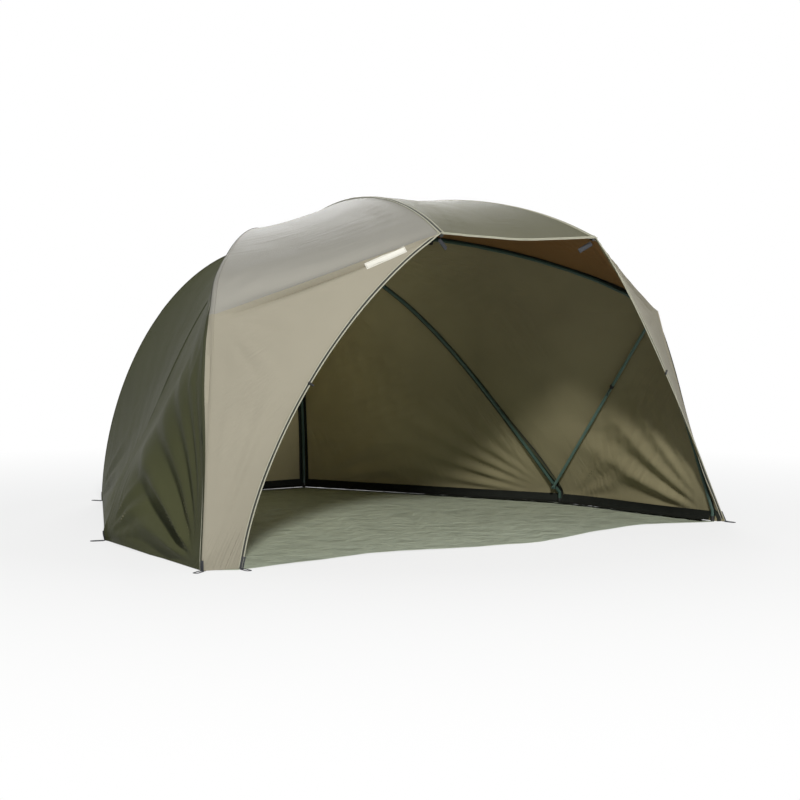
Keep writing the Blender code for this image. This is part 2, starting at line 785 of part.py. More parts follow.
def cover_side(side_name):
    """Grids of points (rows x columns x 3), on the +X side, for the five panels of one side."""
    side = SIDES[side_name]
    ribs = RIBS[side_name]
    clear = TUBE_R + GAP + CLOTH / 2
    rows = {k: cover_rows(ribs[k]) for k in ("mid", "rear")}
    rows["peak"] = ribs["peak"].curve[1:]
    rows["front"] = np.vstack([ribs["front"].curve[1:], cover_rows(ribs["leg"])])
    frames = {k: rib_frame_rows(ribs[k], rows[k]) for k in rows}
    n_up = ROWS_UP
    count = ROWS_UP + ROWS_DOWN - 1
    row = np.arange(count)
    past_elbow = row - (n_up - 1)
    radii = {k: np.full(len(rows[k]), clear) for k in rows}
    radii["front"] += ELBOW_COVER_EXTRA * np.clip(1.0 - np.maximum(-past_elbow - 1, past_elbow) / 2.0, 0, 1)
    to_foot = count - 1 - row
    radii["mid"] += BRACKET_COVER_EXTRA * np.clip(2.0 - np.abs(to_foot - 1.5) / 1.0, 0, 1)
    c = {k: frames[k][0] for k in frames}

    handles = EDGE_HANDLES_RIGHT if side > 0 else EDGE_HANDLES_LEFT
    foot = EDGE_FOOT_RIGHT if side > 0 else EDGE_FOOT_LEFT

    widest = {k: np.zeros(len(rows[k])) for k in rows}

    def line(key, target, sense, lo=0, hi=None):
        centre, out, across = (a[lo:hi] for a in frames[key])
        point, angle = tangent_line(centre, out, across, radii[key][lo:hi], target, sense)
        widest[key][lo:hi] = np.maximum(widest[key][lo:hi], angle)
        return point

    def ridge(key, lo=0, hi=None):
        centre, out, across = (a[lo:hi] for a in frames[key])
        reach = radii[key][lo:hi] / np.cos(widest[key][lo:hi] / 2)
        return centre + out * reach[:, None]

    mirror = np.array([-1.0, 1.0, 1.0])
    # which way "across" points at each rib, seen from above: +1 turns towards the back
    peak_in = line("peak", c["peak"] * mirror, -1)
    peak_out = line("peak", c["front"][:n_up], +1)
    front_in_up = line("front", c["peak"], -1, 0, n_up)
    edge = resample(bezier([peak_out[-1], *handles, (*foot, HEM_Z)]), ROWS_DOWN)
    front_in_low = line("front", edge, -1, n_up - 1)
    front_out = line("front", c["mid"], +1)
    mid_in = line("mid", c["front"], -1)
    mid_out = line("mid", c["rear"], +1)
    rear_in = line("rear", c["mid"], -1)
    rear_out = line("rear", c["rear"] * mirror, +1)

    weight = taper(n_up)
    long_weight = taper(n_up + ROWS_DOWN - 1)
    hem_fade = np.clip((len(long_weight) - 1 - np.arange(len(long_weight))) / 3.0, 0.0, 1.0)

    roof_mid = peak_in * np.array([0.0, 1.0, 1.0]) - np.array([0, 0, 1.0]) * (SAG_ROOF * weight)[:, None]
    roof_half = [roof_mid * (1 - u) + peak_in * u for u in (0.0, 0.5)] + [peak_in]
    gore_front = ruled(peak_out, front_in_up, (0.0, 0.17, 0.34, 0.5), SAG_FRONT * weight,
                       inward_of(peak_out, front_in_up))
    gore_front2 = ruled(peak_out, front_in_up, (0.5, 0.66, 0.83, 1.0), SAG_FRONT * weight,
                        inward_of(peak_out, front_in_up))
    side_sag = SAG_SIDE * long_weight * hem_fade
    side_in = inward_of(front_out, mid_in)
    gore_side1 = over_strut(side_name, ruled(front_out, mid_in, (0.0, 0.17, 0.34, 0.5), side_sag, side_in))
    gore_side2 = over_strut(side_name, ruled(front_out, mid_in, (0.5, 0.66, 0.83, 1.0), side_sag, side_in))
    rear_sag = SAG_REAR * long_weight * hem_fade
    rear_dir = inward_of(mid_out, rear_in)
    shares1 = np.linspace(0.0, 0.5, REAR_COLS)
    shares2 = np.linspace(0.5, 1.0, REAR_COLS)
    gore_rear1 = ruled(mid_out, rear_in, shares1, rear_sag, rear_dir)
    gore_rear2 = ruled(mid_out, rear_in, shares2, rear_sag, rear_dir)
    back_mid = rear_out * np.array([0.0, 1.0, 1.0])
    back_in = inward_of(back_mid, back_mid)
    back_half = ruled(rear_out, rear_out * mirror, np.linspace(0.0, 0.5, REAR_COLS), rear_sag, back_in)

    wing = [edge * (1 - u) + front_in_low * u for u in np.linspace(0.0, 1.0, WING_COLS)]

    def upper(cols):
        return [col[:n_up] for col in cols]

    def lower(cols):
        return [col[n_up - 1:] for col in cols]

    panels = {}
    panels["peak_panel"] = roof_half + [ridge("peak")] + gore_front
    panels["front_panel"] = gore_front2 + [ridge("front", 0, n_up)] + upper(gore_side1)
    panels["wing_panel"] = wing + [ridge("front", n_up - 1)] + lower(gore_side1)
    panels["mid_panel"] = gore_side2 + [ridge("mid")] + gore_rear1
    panels["rear_panel"] = gore_rear2 + [ridge("rear")] + back_half
    return {name: np.stack(cols, 1) for name, cols in panels.items()}


def pull_in_border(grid, inset):
    """Moves the outermost rows and columns in along the cloth, so that panels don't touch."""
    g = grid.copy()

    def towards(a, b):
        d = b - a
        n = np.linalg.norm(d, axis=-1, keepdims=True)
        return a + d / np.maximum(n, 1e-9) * inset

    g[:, 0] = towards(grid[:, 0], grid[:, 1])
    g[:, -1] = towards(grid[:, -1], grid[:, -2])
    g2 = g.copy()
    g2[0] = towards(g[0], g[1])
    g2[-1] = towards(g[-1], g[-2])
    g2[-1, :, 2] = g[-1, :, 2]
    return g2


def grid_object(name, grid, thickness, material, flip=False):
    rows, cols = grid.shape[:2]
    index = np.arange(rows * cols).reshape(rows, cols)
    quads = np.stack([index[:-1, :-1], index[1:, :-1], index[1:, 1:], index[:-1, 1:]], -1).reshape(-1, 4)
    if flip:
        quads = quads[:, ::-1]
    mesh = bpy.data.meshes.new(name)
    mesh.from_pydata(grid.reshape(-1, 3).tolist(), [], quads.tolist())
    ob = add_object(name, mesh, material)
    solid = ob.modifiers.new("thickness", "SOLIDIFY")
    solid.thickness = thickness
    solid.offset = 0.0
    solid.use_even_offset = False
    ob.data.shade_smooth()
    return ob


def make_cover(side_name):
    side = SIDES[side_name]
    for name, grid in cover_side(side_name).items():
        g = pull_in_border(grid, PANEL_INSET)
        g[..., 0] *= side
        grid_object(f"{name}_{side_name}", g, CLOTH, "cover_cloth", flip=side > 0)


def make_label():
    """Bare cloth tab sewn to the left wing, just under the crease that runs to the peak."""
    grid = cover_side("left")["wing_panel"].copy()
    grid[..., 0] *= -1.0
    length = np.linalg.norm(grid[0, WING_COLS - 1] - grid[0, 0])
    half = LABEL_LENGTH / length / 2 * (WING_COLS - 1)
    middle = LABEL_SHARE * (WING_COLS - 1)
    across_row = np.linalg.norm(grid[1, int(middle)] - grid[0, int(middle)])
    rows = LABEL_BELOW_CREASE / across_row + np.array([0.0, LABEL_WIDTH / across_row])
    cols = np.linspace(middle - half, middle + half, 9)
    off = CLOTH / 2 + GAP * 2 + LABEL_THICK / 2
    points = np.zeros((2, len(cols), 3))
    for j, c in enumerate(cols):
        k = int(c)
        a = grid[0, k] + (grid[0, k + 1] - grid[0, k]) * (c - k)
        b = grid[1, k] + (grid[1, k + 1] - grid[1, k]) * (c - k)
        normal = np.cross(grid[0, k + 1] - grid[0, k], grid[1, k] - grid[0, k])
        normal *= np.sign(-normal[1]) / np.linalg.norm(normal)
        for i, v in enumerate(rows):
            points[i, j] = a + (b - a) * v + normal * off
    grid_object("label_tab", points, LABEL_THICK, "label_cloth")


def peg_loop(name, start, outward):
    """Flat webbing loop on the ground, open in its middle for a peg."""
    out = Vector(outward).normalized()
    across = Vector((0.0, 0.0, 1.0)).cross(out)
    centre = Vector(start) + out * (LOOP_LENGTH / 2)
    centre.z = LOOP_THICK / 2
    place = frame_matrix(centre, out, (0, 0, 1))
    bm = bmesh.new()
    add_box(bm, (LOOP_LENGTH, LOOP_WIDTH, LOOP_THICK), place)
    ob = add_object(name, mesh_from_bmesh(name, bm), "black_webbing")
    bm = bmesh.new()
    size = (LOOP_LENGTH - LOOP_BAND * 2, LOOP_WIDTH - LOOP_BAND, LOOP_THICK * 3)
    add_box(bm, size, place)
    boolean(ob, cutter_object(name + "_hole", bm), "DIFFERENCE")
    bake(ob)


def make_peg_loops(side_name):
    """Loops at the feet of one side and at the front corner of its wing.

    Each one points away from the two neighbouring corners of the cover's hem.
    """
    side = SIDES[side_name]
    mirror = np.array([side, 1.0, 1.0])
    panels = cover_side(side_name)
    hems = {key: panels[f"{key}_panel"][-1] for key in ("wing", "mid", "rear")}
    corner = hems["wing"][0]
    front = np.array([*FRONT_FOOT, 0.0])
    mid = np.array([*MID_FOOT, 0.0])
    rear = np.array([*REAR_FOOT, 0.0])
    loops = {"wing": (corner, None, None), "mid": (mid, front, rear),
             "rear": (rear, mid, rear * np.array([-1.0, 1.0, 1.0]))}
    if corner[0] < front[0] - LOOP_LENGTH:
        loops["front"] = (front, corner, mid)
    for key, (at, before, after) in loops.items():
        out = np.array([0.0, -1.0, 0.0])
        hem = hems["wing" if key == "front" else key]
        if before is not None:
            ways = [(p - at) / np.linalg.norm(p - at) for p in (before, after)]
            out = -(ways[0] + ways[1])
            out[2] = 0.0
            out /= np.linalg.norm(out)
        facing = abs((hem[1] - hem[0])[0]) / np.linalg.norm(hem[1] - hem[0]) if before is None else 1.0
        reach = hem_reach(hem, at, out) + CLOTH / 2 * facing + GAP
        peg_loop(f"peg_loop_{key}_{side_name}", (at + out * reach) * mirror, out * mirror)


def hem_reach(hem, at, out):
    """How far the hem stands out from a point, over the width of a loop."""
    aside = np.array([-out[1], out[0], 0.0])
    reach = 0.0
    for a, b in zip(hem[:-1], hem[1:]):
        for t in np.linspace(0.0, 1.0, 60):
            d = a + (b - a) * t - at
            if abs(d @ aside) < LOOP_WIDTH / 2:
                reach = max(reach, float(d @ out))
    return reach


def make_cap():
    """Round vent cap of cloth-covered plastic over the hole in the cover."""
    rim_z = HEAD_Z + TUBE_R + GAP + CLOTH + 0.030
    steps = 5
    outer = [(CAP_R * i / steps, rim_z + CAP_RISE * (1 - (i / steps) ** 2)) for i in range(steps + 1)]
    inner = [(r, z - CAP_THICK) for r, z in reversed(outer)]
    turned("vent_cap", outer + inner, "cover_cloth", (0.0, HEAD_Y, 0.0), 32)
    top = rim_z + CAP_RISE - CAP_THICK - GAP
    bottom = HEAD_Z + HEAD_ABOVE + GAP
    turned("cap_post", [(0.0, top), (0.010, top - 0.001), (0.010, bottom), (0.0, bottom)],
           "black_plastic", (0.0, HEAD_Y, 0.0), 16)


# Groundsheet, label and peg loops


def make_groundsheet():
    """Sheet on the ground inside the feet, with low waves and a flat underside."""
    rows = 20
    cols = 20
    v = np.linspace(0.0, 1.0, rows)[:, None]
    u = np.linspace(0.0, 1.0, cols)[None, :]
    back = REAR_FOOT[1] - TUBE_R - SHEET_TO_FOOT
    mid = MID_FOOT[0] - TUBE_R - SHEET_TO_FOOT
    middle_row = round((MID_FOOT[1] - SHEET_FRONT_Y) / (back - SHEET_FRONT_Y) * (rows - 1))
    rows_y = np.concatenate([np.linspace(SHEET_FRONT_Y, MID_FOOT[1], middle_row + 1),
                             np.linspace(MID_FOOT[1], back, rows - middle_row)[1:]])
    y_knots = [SHEET_FRONT_Y, MID_FOOT[1], back]
    y = rows_y[:, None]
    right = np.interp(y, y_knots, [SHEET_FRONT_X[1], mid, REAR_FOOT[0]])
    left = np.interp(y, y_knots, [SHEET_FRONT_X[0], -mid, -REAR_FOOT[0]])
    x = left + (right - left) * u
    y = y + 0 * u
    edge = np.clip(np.minimum.reduce([u * 4 + 0 * v, (1 - u) * 4 + 0 * v, (1 - v) * 4 + 0 * u]), 0, 1)
    wave = np.sin(9.0 * x + 4.0 * y) + 0.7 * np.sin(5.0 * x - 11.0 * y + 1.0)
    z = SHEET_THICK + SHEET_WAVE * 0.5 * (1.0 + wave / 1.7) * edge
    bm = bmesh.new()
    top = [[bm.verts.new((x[i, j], y[i, j], z[i, j])) for j in range(cols)] for i in range(rows)]
    for i in range(rows - 1):
        for j in range(cols - 1):
            bm.faces.new((top[i][j], top[i][j + 1], top[i + 1][j + 1], top[i + 1][j]))
    rim = ([top[0][j] for j in range(cols)] + [top[i][-1] for i in range(1, rows)]
           + [top[-1][j] for j in range(cols - 2, -1, -1)] + [top[i][0] for i in range(rows - 2, 0, -1)])
    base = [bm.verts.new((p.co.x, p.co.y, 0.0)) for p in rim]
    for k in range(len(rim)):
        n = (k + 1) % len(rim)
        bm.faces.new((rim[n], rim[k], base[k], base[n]))
    bm.faces.new(list(reversed(base)))
    ob = add_object("groundsheet", mesh_from_bmesh("groundsheet", bm), "sheet_cloth")
    ob.data.shade_smooth()


def build():
    for side_name in SIDES:
        make_upper_ribs(side_name)
        make_legs(side_name)
        make_elbow(side_name)
        make_tip_caps(side_name)
        make_saddle(side_name, "front", FRONT_SADDLE_RUN)
        make_saddle(side_name, "mid", MID_SADDLE_RUN)
        make_strut(side_name)
        make_cover(side_name)
        make_peg_loops(side_name)
    make_label()
    make_head()
    make_centre()
    make_cap()
    make_groundsheet()


build()
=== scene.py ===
# %% [markdown]
# # A fishing umbrella, dressed
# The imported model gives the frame: ribs, head, elbows, struts and feet. This lesson loads it, puts
# fine cloth where the model has plain panels, and gives every part the finish of the real thing.
# Everything is in metres, with the open front facing -Y and the ground at zero height.

# %% Load the frame
import bpy
import json
import math
import numpy as np
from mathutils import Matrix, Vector

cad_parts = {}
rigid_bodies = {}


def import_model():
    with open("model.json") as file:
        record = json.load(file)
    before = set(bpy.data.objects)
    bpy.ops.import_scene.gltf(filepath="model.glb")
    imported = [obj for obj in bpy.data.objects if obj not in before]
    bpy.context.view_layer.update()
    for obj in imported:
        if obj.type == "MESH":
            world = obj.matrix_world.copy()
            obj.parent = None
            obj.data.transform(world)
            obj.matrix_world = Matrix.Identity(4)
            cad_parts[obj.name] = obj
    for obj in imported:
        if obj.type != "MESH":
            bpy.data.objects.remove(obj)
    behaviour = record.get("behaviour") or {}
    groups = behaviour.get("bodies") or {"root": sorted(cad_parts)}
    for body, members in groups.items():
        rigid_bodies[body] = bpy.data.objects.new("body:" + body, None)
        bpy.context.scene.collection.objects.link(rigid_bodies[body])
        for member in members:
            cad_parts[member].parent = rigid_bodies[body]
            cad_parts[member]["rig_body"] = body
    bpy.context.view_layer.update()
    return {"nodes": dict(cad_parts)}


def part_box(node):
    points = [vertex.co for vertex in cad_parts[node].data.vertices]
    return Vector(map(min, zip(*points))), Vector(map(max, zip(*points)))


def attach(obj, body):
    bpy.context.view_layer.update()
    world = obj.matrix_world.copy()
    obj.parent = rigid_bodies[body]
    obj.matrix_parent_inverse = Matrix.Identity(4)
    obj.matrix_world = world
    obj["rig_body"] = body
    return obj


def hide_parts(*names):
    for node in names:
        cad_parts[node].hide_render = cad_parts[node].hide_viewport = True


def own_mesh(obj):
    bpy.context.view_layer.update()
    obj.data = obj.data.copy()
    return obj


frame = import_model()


# %% Small helpers
def unit(v):
    """v / |v| along the last axis."""
    v = np.asarray(v, float)
    size = np.linalg.norm(v) if v.ndim == 1 else np.linalg.norm(v, axis=-1, keepdims=True)
    return v / np.maximum(size, 1e-12)


def added(name, data):
    """A new object in the scene, at the origin."""
    ob = bpy.data.objects.new(name, data)
    bpy.context.scene.collection.objects.link(ob)
    return ob


def aimed(look):
    """The rotation that turns a camera or lamp to look along a direction."""
    return look.to_track_quat("-Z", "Y").to_euler()


def mesh_object(name, verts, faces, flat, materials, sharp=None):
    """A smooth object from points and faces. flat is each point's place on the map, in metres."""
    mesh = bpy.data.meshes.new(name)
    mesh.from_pydata(verts.tolist(), [], faces)
    for material in materials:
        mesh.materials.append(material)
    corner = np.array([v for f in faces for v in f])
    mesh.uv_layers.new(name="metres").data.foreach_set("uv", flat[corner].astype(np.float32).ravel())
    mesh.shade_smooth()
    if sharp:
        mesh.set_sharp_from_angle(angle=math.radians(sharp))
    return added(name, mesh)


def corners_of(name):
    """Places of a frame node's corners."""
    mesh = frame["nodes"][name].data
    co = np.empty(len(mesh.vertices) * 3)
    mesh.vertices.foreach_get("co", co)
    return co.reshape(-1, 3)


UP = np.array([0.0, 0.0, 1.0])
WHITE = (1.0, 1.0, 1.0)

# %% [markdown]
# ## Camera, light and floor
# The photograph was taken from the front, a little to the left and only just above knee height,
# with a long lens. A point on the floor and a heading give such a view exactly, so the camera is
# worked out from two angles and a place. A small strong lamp stands where the sun stood, a wide one
# lights the back and a cone of light reaches into the shelter. The world fills the shadows with a
# faint blue, and is plain white where it is seen, directly or in a glossy surface.

# %% Camera
HEADING = math.radians(35.0)
PITCH = math.radians(-3.15)
LENS_MM = 81.0

camera_data = bpy.data.cameras.new("camera")
camera_data.lens = LENS_MM
camera_data.sensor_width = 36.0
camera_data.sensor_fit = "HORIZONTAL"
camera = added("camera", camera_data)
camera.location = (-4.31, -6.58, 0.954)
look = Vector((math.sin(HEADING) * math.cos(PITCH), math.cos(HEADING) * math.cos(PITCH), math.sin(PITCH)))
camera.rotation_euler = aimed(look)
bpy.context.scene.camera = camera
bpy.context.scene.view_settings.view_transform = "Standard"
print("camera looks along", tuple(round(c, 3) for c in look))


# %% Lamps
def lamp(name, place, target, size, watts, colour=WHITE, cone=None):
    """A soft lamp at a place, turned to face a target: a square one, or a cone of light in degrees."""
    data = bpy.data.lights.new(name, "AREA" if cone is None else "SPOT")
    if cone is None:
        data.shape = "SQUARE"
        data.size = size
    else:
        data.shadow_soft_size = size / 2
        data.spot_size = math.radians(cone)
        data.spot_blend = 1.0
    data.energy = watts
    data.color = colour
    ob = added(name, data)
    ob.location = place
    ob.rotation_euler = aimed(Vector(target) - Vector(place))
    ob.visible_camera = False


lamp("key lamp", (-3.9, -8.0, 5.8), (0.0, -0.5, 0.5), 0.8, 790.0, (1.0, 0.985, 0.955))
lamp("back lamp", (4.5, 7.0, 4.5), (0.0, 0.0, 0.5), 3.0, 330.0)
lamp("lamp into the shelter", (1.05, -3.5, 0.5), (-0.45, 0.9, 0.62), 0.9, 330.0, (1.0, 0.98, 0.94), cone=30.0)

# %% [markdown]
# ## Shader maths as Python expressions
# A finish is easier to read as a sum than as a drawing of nodes. One small class wraps a socket, so
# that `1 - mask` or `noise * 0.2 + 0.4` adds the Math nodes by itself, and one method of the finish
# adds any other node: its type, its settings, then the values or links of its sockets.


# %% Socket and finish classes
class Link:
    """One output of a node. Python's operators on it add Math nodes."""

    def __init__(self, finish, socket):
        self.finish = finish
        self.socket = socket

    def maths(self, operation, first, second=0.0, third=0.0):
        return self.finish.node("ShaderNodeMath", {"operation": operation}, {0: first, 1: second, 2: third})

    def __add__(self, other):
        return self.maths("ADD", self, other)

    def __sub__(self, other):
        return self.maths("SUBTRACT", self, other)

    def __rsub__(self, other):
        return self.maths("SUBTRACT", other, self)

    def __mul__(self, other):
        return self.maths("MULTIPLY", self, other)

    __radd__ = __add__
    __rmul__ = __mul__

    def larger(self, other):
        return self.maths("MAXIMUM", self, other)

    def sine(self):
        return self.maths("SINE", self)

    def clamped(self, low, high):
        """0 at low, 1 at high, straight between them and level beyond."""
        return self.finish.node("ShaderNodeMapRange", {"clamp": True},
                                {"Value": self, "From Min": low, "From Max": high})


class Nodes:
    """A node tree, with one method that adds any node to it."""

    def __init__(self, tree):
        self.tree = tree

    def node(self, kind, settings=None, values=None, output=0):
        """Adds a node of a kind. Settings come first, then values or links for its sockets."""
        made = self.tree.nodes.new(kind)
        for key, value in (settings or {}).items():
            setattr(made, key, value)
        for key, value in (values or {}).items():
            if isinstance(value, Link):
                self.tree.links.new(value.socket, made.inputs[key])
            else:
                made.inputs[key].default_value = value
        return Link(self, made.outputs[output]) if made.outputs else None

    def ray(self, kind):
        """1 for rays of a kind: Camera, Glossy or Transmission."""
        return self.node("ShaderNodeLightPath", output=f"Is {kind} Ray")


class Finish(Nodes):
    """A material with one Principled shader, and expressions that feed it."""

    def __init__(self, name, colour, roughness=0.5, **constants):
        self.material = bpy.data.materials.new(name)
        self.material.use_nodes = True
        super().__init__(self.material.node_tree)
        self.shader = self.tree.nodes["Principled BSDF"]
        self.shader.inputs["Base Color"].default_value = (*colour, 1.0)
        self.shader.inputs["Roughness"].default_value = roughness
        for socket, value in constants.items():
            self.shader.inputs[socket.replace("_", " ")].default_value = value
        self.material.diffuse_color = (*colour, 1.0)

    def place(self):
        """Object coordinates, which lie still on every piece."""
        return self.node("ShaderNodeTexCoord", output="Object")

    def along(self):
        """The piece's own map, in metres across and along the cloth."""
        return self.node("ShaderNodeTexCoord", output="UV")

    def stretched(self, where, scale):
        return self.node("ShaderNodeMapping", None, {"Vector": where, "Scale": scale})

    def noise(self, where, scale, detail=3.0, roughness=0.5):
        return self.node("ShaderNodeTexNoise", None, {"Vector": where, "Scale": scale, "Detail": detail,
                                                      "Roughness": roughness})

    def mix(self, factor, first, second):
        """A colour between two others, by a factor from 0 to 1."""
        made = self.tree.nodes.new("ShaderNodeMix")
        made.data_type = "RGBA"
        sockets = [s for s in made.inputs if s.enabled]
        for socket, value in zip(sockets, (factor, first, second)):
            if isinstance(value, Link):
                self.tree.links.new(value.socket, socket)
            elif socket.type == "RGBA":
                socket.default_value = (*value, 1.0)
            else:
                socket.default_value = value
        result = [s for s in made.outputs if s.enabled][0]
        return Link(self, result)

    def bump(self, height, distance, strength=1.0):
        values = {"Height": height, "Distance": distance, "Strength": strength}
        return self.node("ShaderNodeBump", None, values)

    def feed(self, socket, link):
        self.tree.links.new(link.socket, self.shader.inputs[socket])


# %% World
world = bpy.data.worlds.new("studio")
bpy.context.scene.world = world
world.use_nodes = True
sky = Nodes(world.node_tree)
sky.tree.nodes.clear()
seen = sky.node("ShaderNodeBackground", None, {"Color": (*WHITE, 1.0), "Strength": 1.0})
fill = sky.node("ShaderNodeBackground", None, {"Color": (0.84, 0.93, 1.0, 1.0), "Strength": 0.22})
looking = sky.ray("Camera").larger(sky.ray("Glossy").larger(sky.ray("Transmission")))
light = sky.node("ShaderNodeMixShader", None, {0: looking, 1: fill, 2: seen})
sky.node("ShaderNodeOutputWorld", None, {"Surface": light})
print("world nodes", len(sky.tree.nodes))


# %% [markdown]
# ## Finishes
# The cover is coated nylon: tightly woven, slightly slubby, with a waxy sheen where it is stretched.
# Its inside carries the coating and is browner, and is painted paler towards the sun, as painted light
# through the cloth. Outside, one cloth is used in lit and shaded copies: the front is painted paler
# as sunlight, the front facets paler and bluer as a painted sky reflection, and the sides darker as
# painted shade. Colours come from noise at three scales, so that no part is one flat colour, and the
# weave is a bump of two crossed waves that follow the cloth's map.


# %% Cloth finishes
AWAY_FROM_SUN = (0.82, -0.57, 0.0)


def weave(finish, pitch=0.0016):
    """Crossed threads: the product of two sines, one along the cloth and one across it."""
    parts = [finish.node("ShaderNodeSeparateXYZ", None, {"Vector": finish.along()}, output=i) for i in (0, 1)]
    turn = 2.0 * math.pi / pitch
    return (parts[0] * turn).sine() * (parts[1] * turn).sine()


def lit_through(finish, colour):
    """Painted light: the inside is made up to 1.7 times paler on the sunny side, for sun that comes through
    the thin cloth.
    """
    values = {0: finish.place(), 1: AWAY_FROM_SUN}
    across = finish.node("ShaderNodeVectorMath", {"operation": "DOT_PRODUCT"}, values, "Value")
    amount = across.clamped(0.60, 0.05) * (1.7 - 1.0) + 1.0
    return finish.node("ShaderNodeVectorMath", {"operation": "SCALE"}, {"Vector": colour, "Scale": amount})


def coated_cloth(name, colour, roughness, gloss, spread=0.10, pull=(4.0, 40.0), depth=0.004, painted_sun_glow=False):
    """A colour that drifts a little darker and lighter over the cloth, with threads in it.

    pull is the scale across and along the cloth of fine stretch lines, which come in patches.
    """
    deep = tuple(c * (1.0 - spread) for c in colour)
    pale = tuple(c * (1.0 + spread) for c in colour)
    finish = Finish(name, colour, roughness, Specular_IOR_Level=gloss)
    broad = finish.noise(finish.place(), 1.6, 4.0, 0.55)
    slub = finish.noise(finish.stretched(finish.along(), (60.0, 700.0, 1.0)), 1.0, 2.0)
    cross = finish.noise(finish.stretched(finish.along(), (700.0, 60.0, 1.0)), 1.0, 2.0)
    base = finish.mix(broad.clamped(0.30, 0.72), deep, pale)
    thread = (slub + cross) * 0.5
    toned = finish.mix(thread.clamped(0.36, 0.66) * 0.35, base, colour)
    finish.feed("Base Color", lit_through(finish, toned) if painted_sun_glow else toned)
    finish.feed("Roughness", broad * 0.16 + thread * 0.10 + (roughness - 0.12))
    lines = finish.noise(finish.stretched(finish.along(), (*pull, 1.0)), 1.0, 2.5, 0.5)
    patch = finish.noise(finish.place(), 2.3, 2.0).clamped(0.46, 0.66)
    height = (weave(finish) * 0.3 + thread) * 0.0003 + lines * patch * depth
    finish.feed("Normal", finish.bump(height, 1.0))
    return finish.material


def laid_cloth(name, colour, roughness, gloss):
    """Cloth that was folded and thrown down: sharp little ridges in every direction."""
    finish = Finish(name, colour, roughness, Specular_IOR_Level=gloss)
    where = finish.place()
    first = finish.noise(where, 5.5, 3.0, 0.5) - 0.5
    second = finish.noise(where, 17.0, 3.0, 0.5) - 0.5
    ridge = 0.5 - first.maths("ABSOLUTE", first) * 2.0
    crumple = 0.5 - second.maths("ABSOLUTE", second) * 2.0
    height = ridge * 0.017 + crumple * 0.006
    # painted shade: the colour follows the ridges, paler on their tops and darker in the hollows between them
    fold_shade = (ridge * 0.6 + crumple * 0.4).clamped(0.20, 0.50)
    deep, pale = tuple(c * 0.86 for c in colour), tuple(c * 1.10 for c in colour)
    finish.feed("Base Color", finish.mix(fold_shade, deep, pale))
    finish.feed("Normal", finish.bump(height + weave(finish) * 0.0001, 1.0))
    return finish.material


# One cloth in lit and shaded copies: the sides darker as painted shade, the front paler as painted sunlight,
# the front facets paler and bluer as a painted sky reflection; the roof copy lies between.
ACROSS_CREASE = (3.0, 42.0)
shaded_side_cover = coated_cloth("cover cloth of the sides", (0.074, 0.077, 0.037), 0.48, 0.03, 0.18,
                          (34.0, 2.5), 0.008)
cover_roof = coated_cloth("cover cloth of the roof", (0.140, 0.136, 0.090), 0.50, 0.04)
sunlit_front_cover = coated_cloth("cover cloth of the front", (0.325, 0.300, 0.235), 0.50, 0.05, 0.06,
                           ACROSS_CREASE, 0.006)
sky_lit_facet_cover = coated_cloth("cover cloth of the front facets", (0.322, 0.310, 0.274), 0.50, 0.05, 0.06,
                           ACROSS_CREASE, 0.006)
cover_in = coated_cloth("cover cloth inside", (0.262, 0.234, 0.140), 0.52, 0.06, 0.14, (26.0, 5.0), 0.008,
                        painted_sun_glow=True)
peak_in_cloth = coated_cloth("cover cloth under the peak", (0.225, 0.118, 0.044), 0.50, 0.1)
sheet_top = laid_cloth("groundsheet cloth", (0.420, 0.465, 0.368), 0.55, 0.12)
tape_in = coated_cloth("seam tape inside", (0.030, 0.031, 0.024), 0.6, 0.1)
COVER_FINISHES = (sunlit_front_cover, shaded_side_cover, cover_roof, cover_in, peak_in_cloth, tape_in, sky_lit_facet_cover)
print("cloth finishes", [m.name for m in COVER_FINISHES])


# %% Webbing, binding and label
def ribbed(name, colour, pale, pitch, roughness=0.8):
    """Woven ribs across the band: a sine along it, with some fuzz."""
    finish = Finish(name, colour, roughness)
    across = finish.node("ShaderNodeSeparateXYZ", None, {"Vector": finish.along()}, output="Y")
    rib = (across * (2.0 * math.pi / pitch)).sine() * 0.5 + 0.5
    fuzz = finish.noise(finish.place(), 260.0, 2.0)
    finish.feed("Base Color", finish.mix(rib * 0.5 + fuzz * 0.4, colour, pale))
    finish.feed("Roughness", fuzz * 0.2 + (roughness - 0.1))
    finish.feed("Normal", finish.bump(rib, 0.0004, 0.6))
    return finish.material


piping_cream = ribbed("cream piping", (0.36, 0.35, 0.27), (0.46, 0.45, 0.35), 0.003, 0.6)
binding_dark = ribbed("dark binding", (0.020, 0.021, 0.018), (0.045, 0.046, 0.038), 0.003)
webbing = ribbed("black webbing", (0.016, 0.018, 0.022), (0.045, 0.048, 0.055), 0.0025)
label_cloth = ribbed("label cloth", (0.70, 0.68, 0.61), (0.80, 0.78, 0.72), 0.002, 0.6)
# partly painted shade: the skirt's near-black colour also stands in for the shadow along the hem
skirt_cloth_and_hem_shade = coated_cloth("hem skirt cloth", (0.020, 0.022, 0.019), 0.6, 0.05, 0.3, (40.0, 8.0))
seam_cloth = coated_cloth("seam cloth", (0.050, 0.053, 0.030), 0.55, 0.05)
inside_tape = coated_cloth("inside tape", (0.024, 0.027, 0.022), 0.55, 0.08)
thread_pale = ribbed("stitching", (0.30, 0.29, 0.22), (0.38, 0.37, 0.30), 0.002)


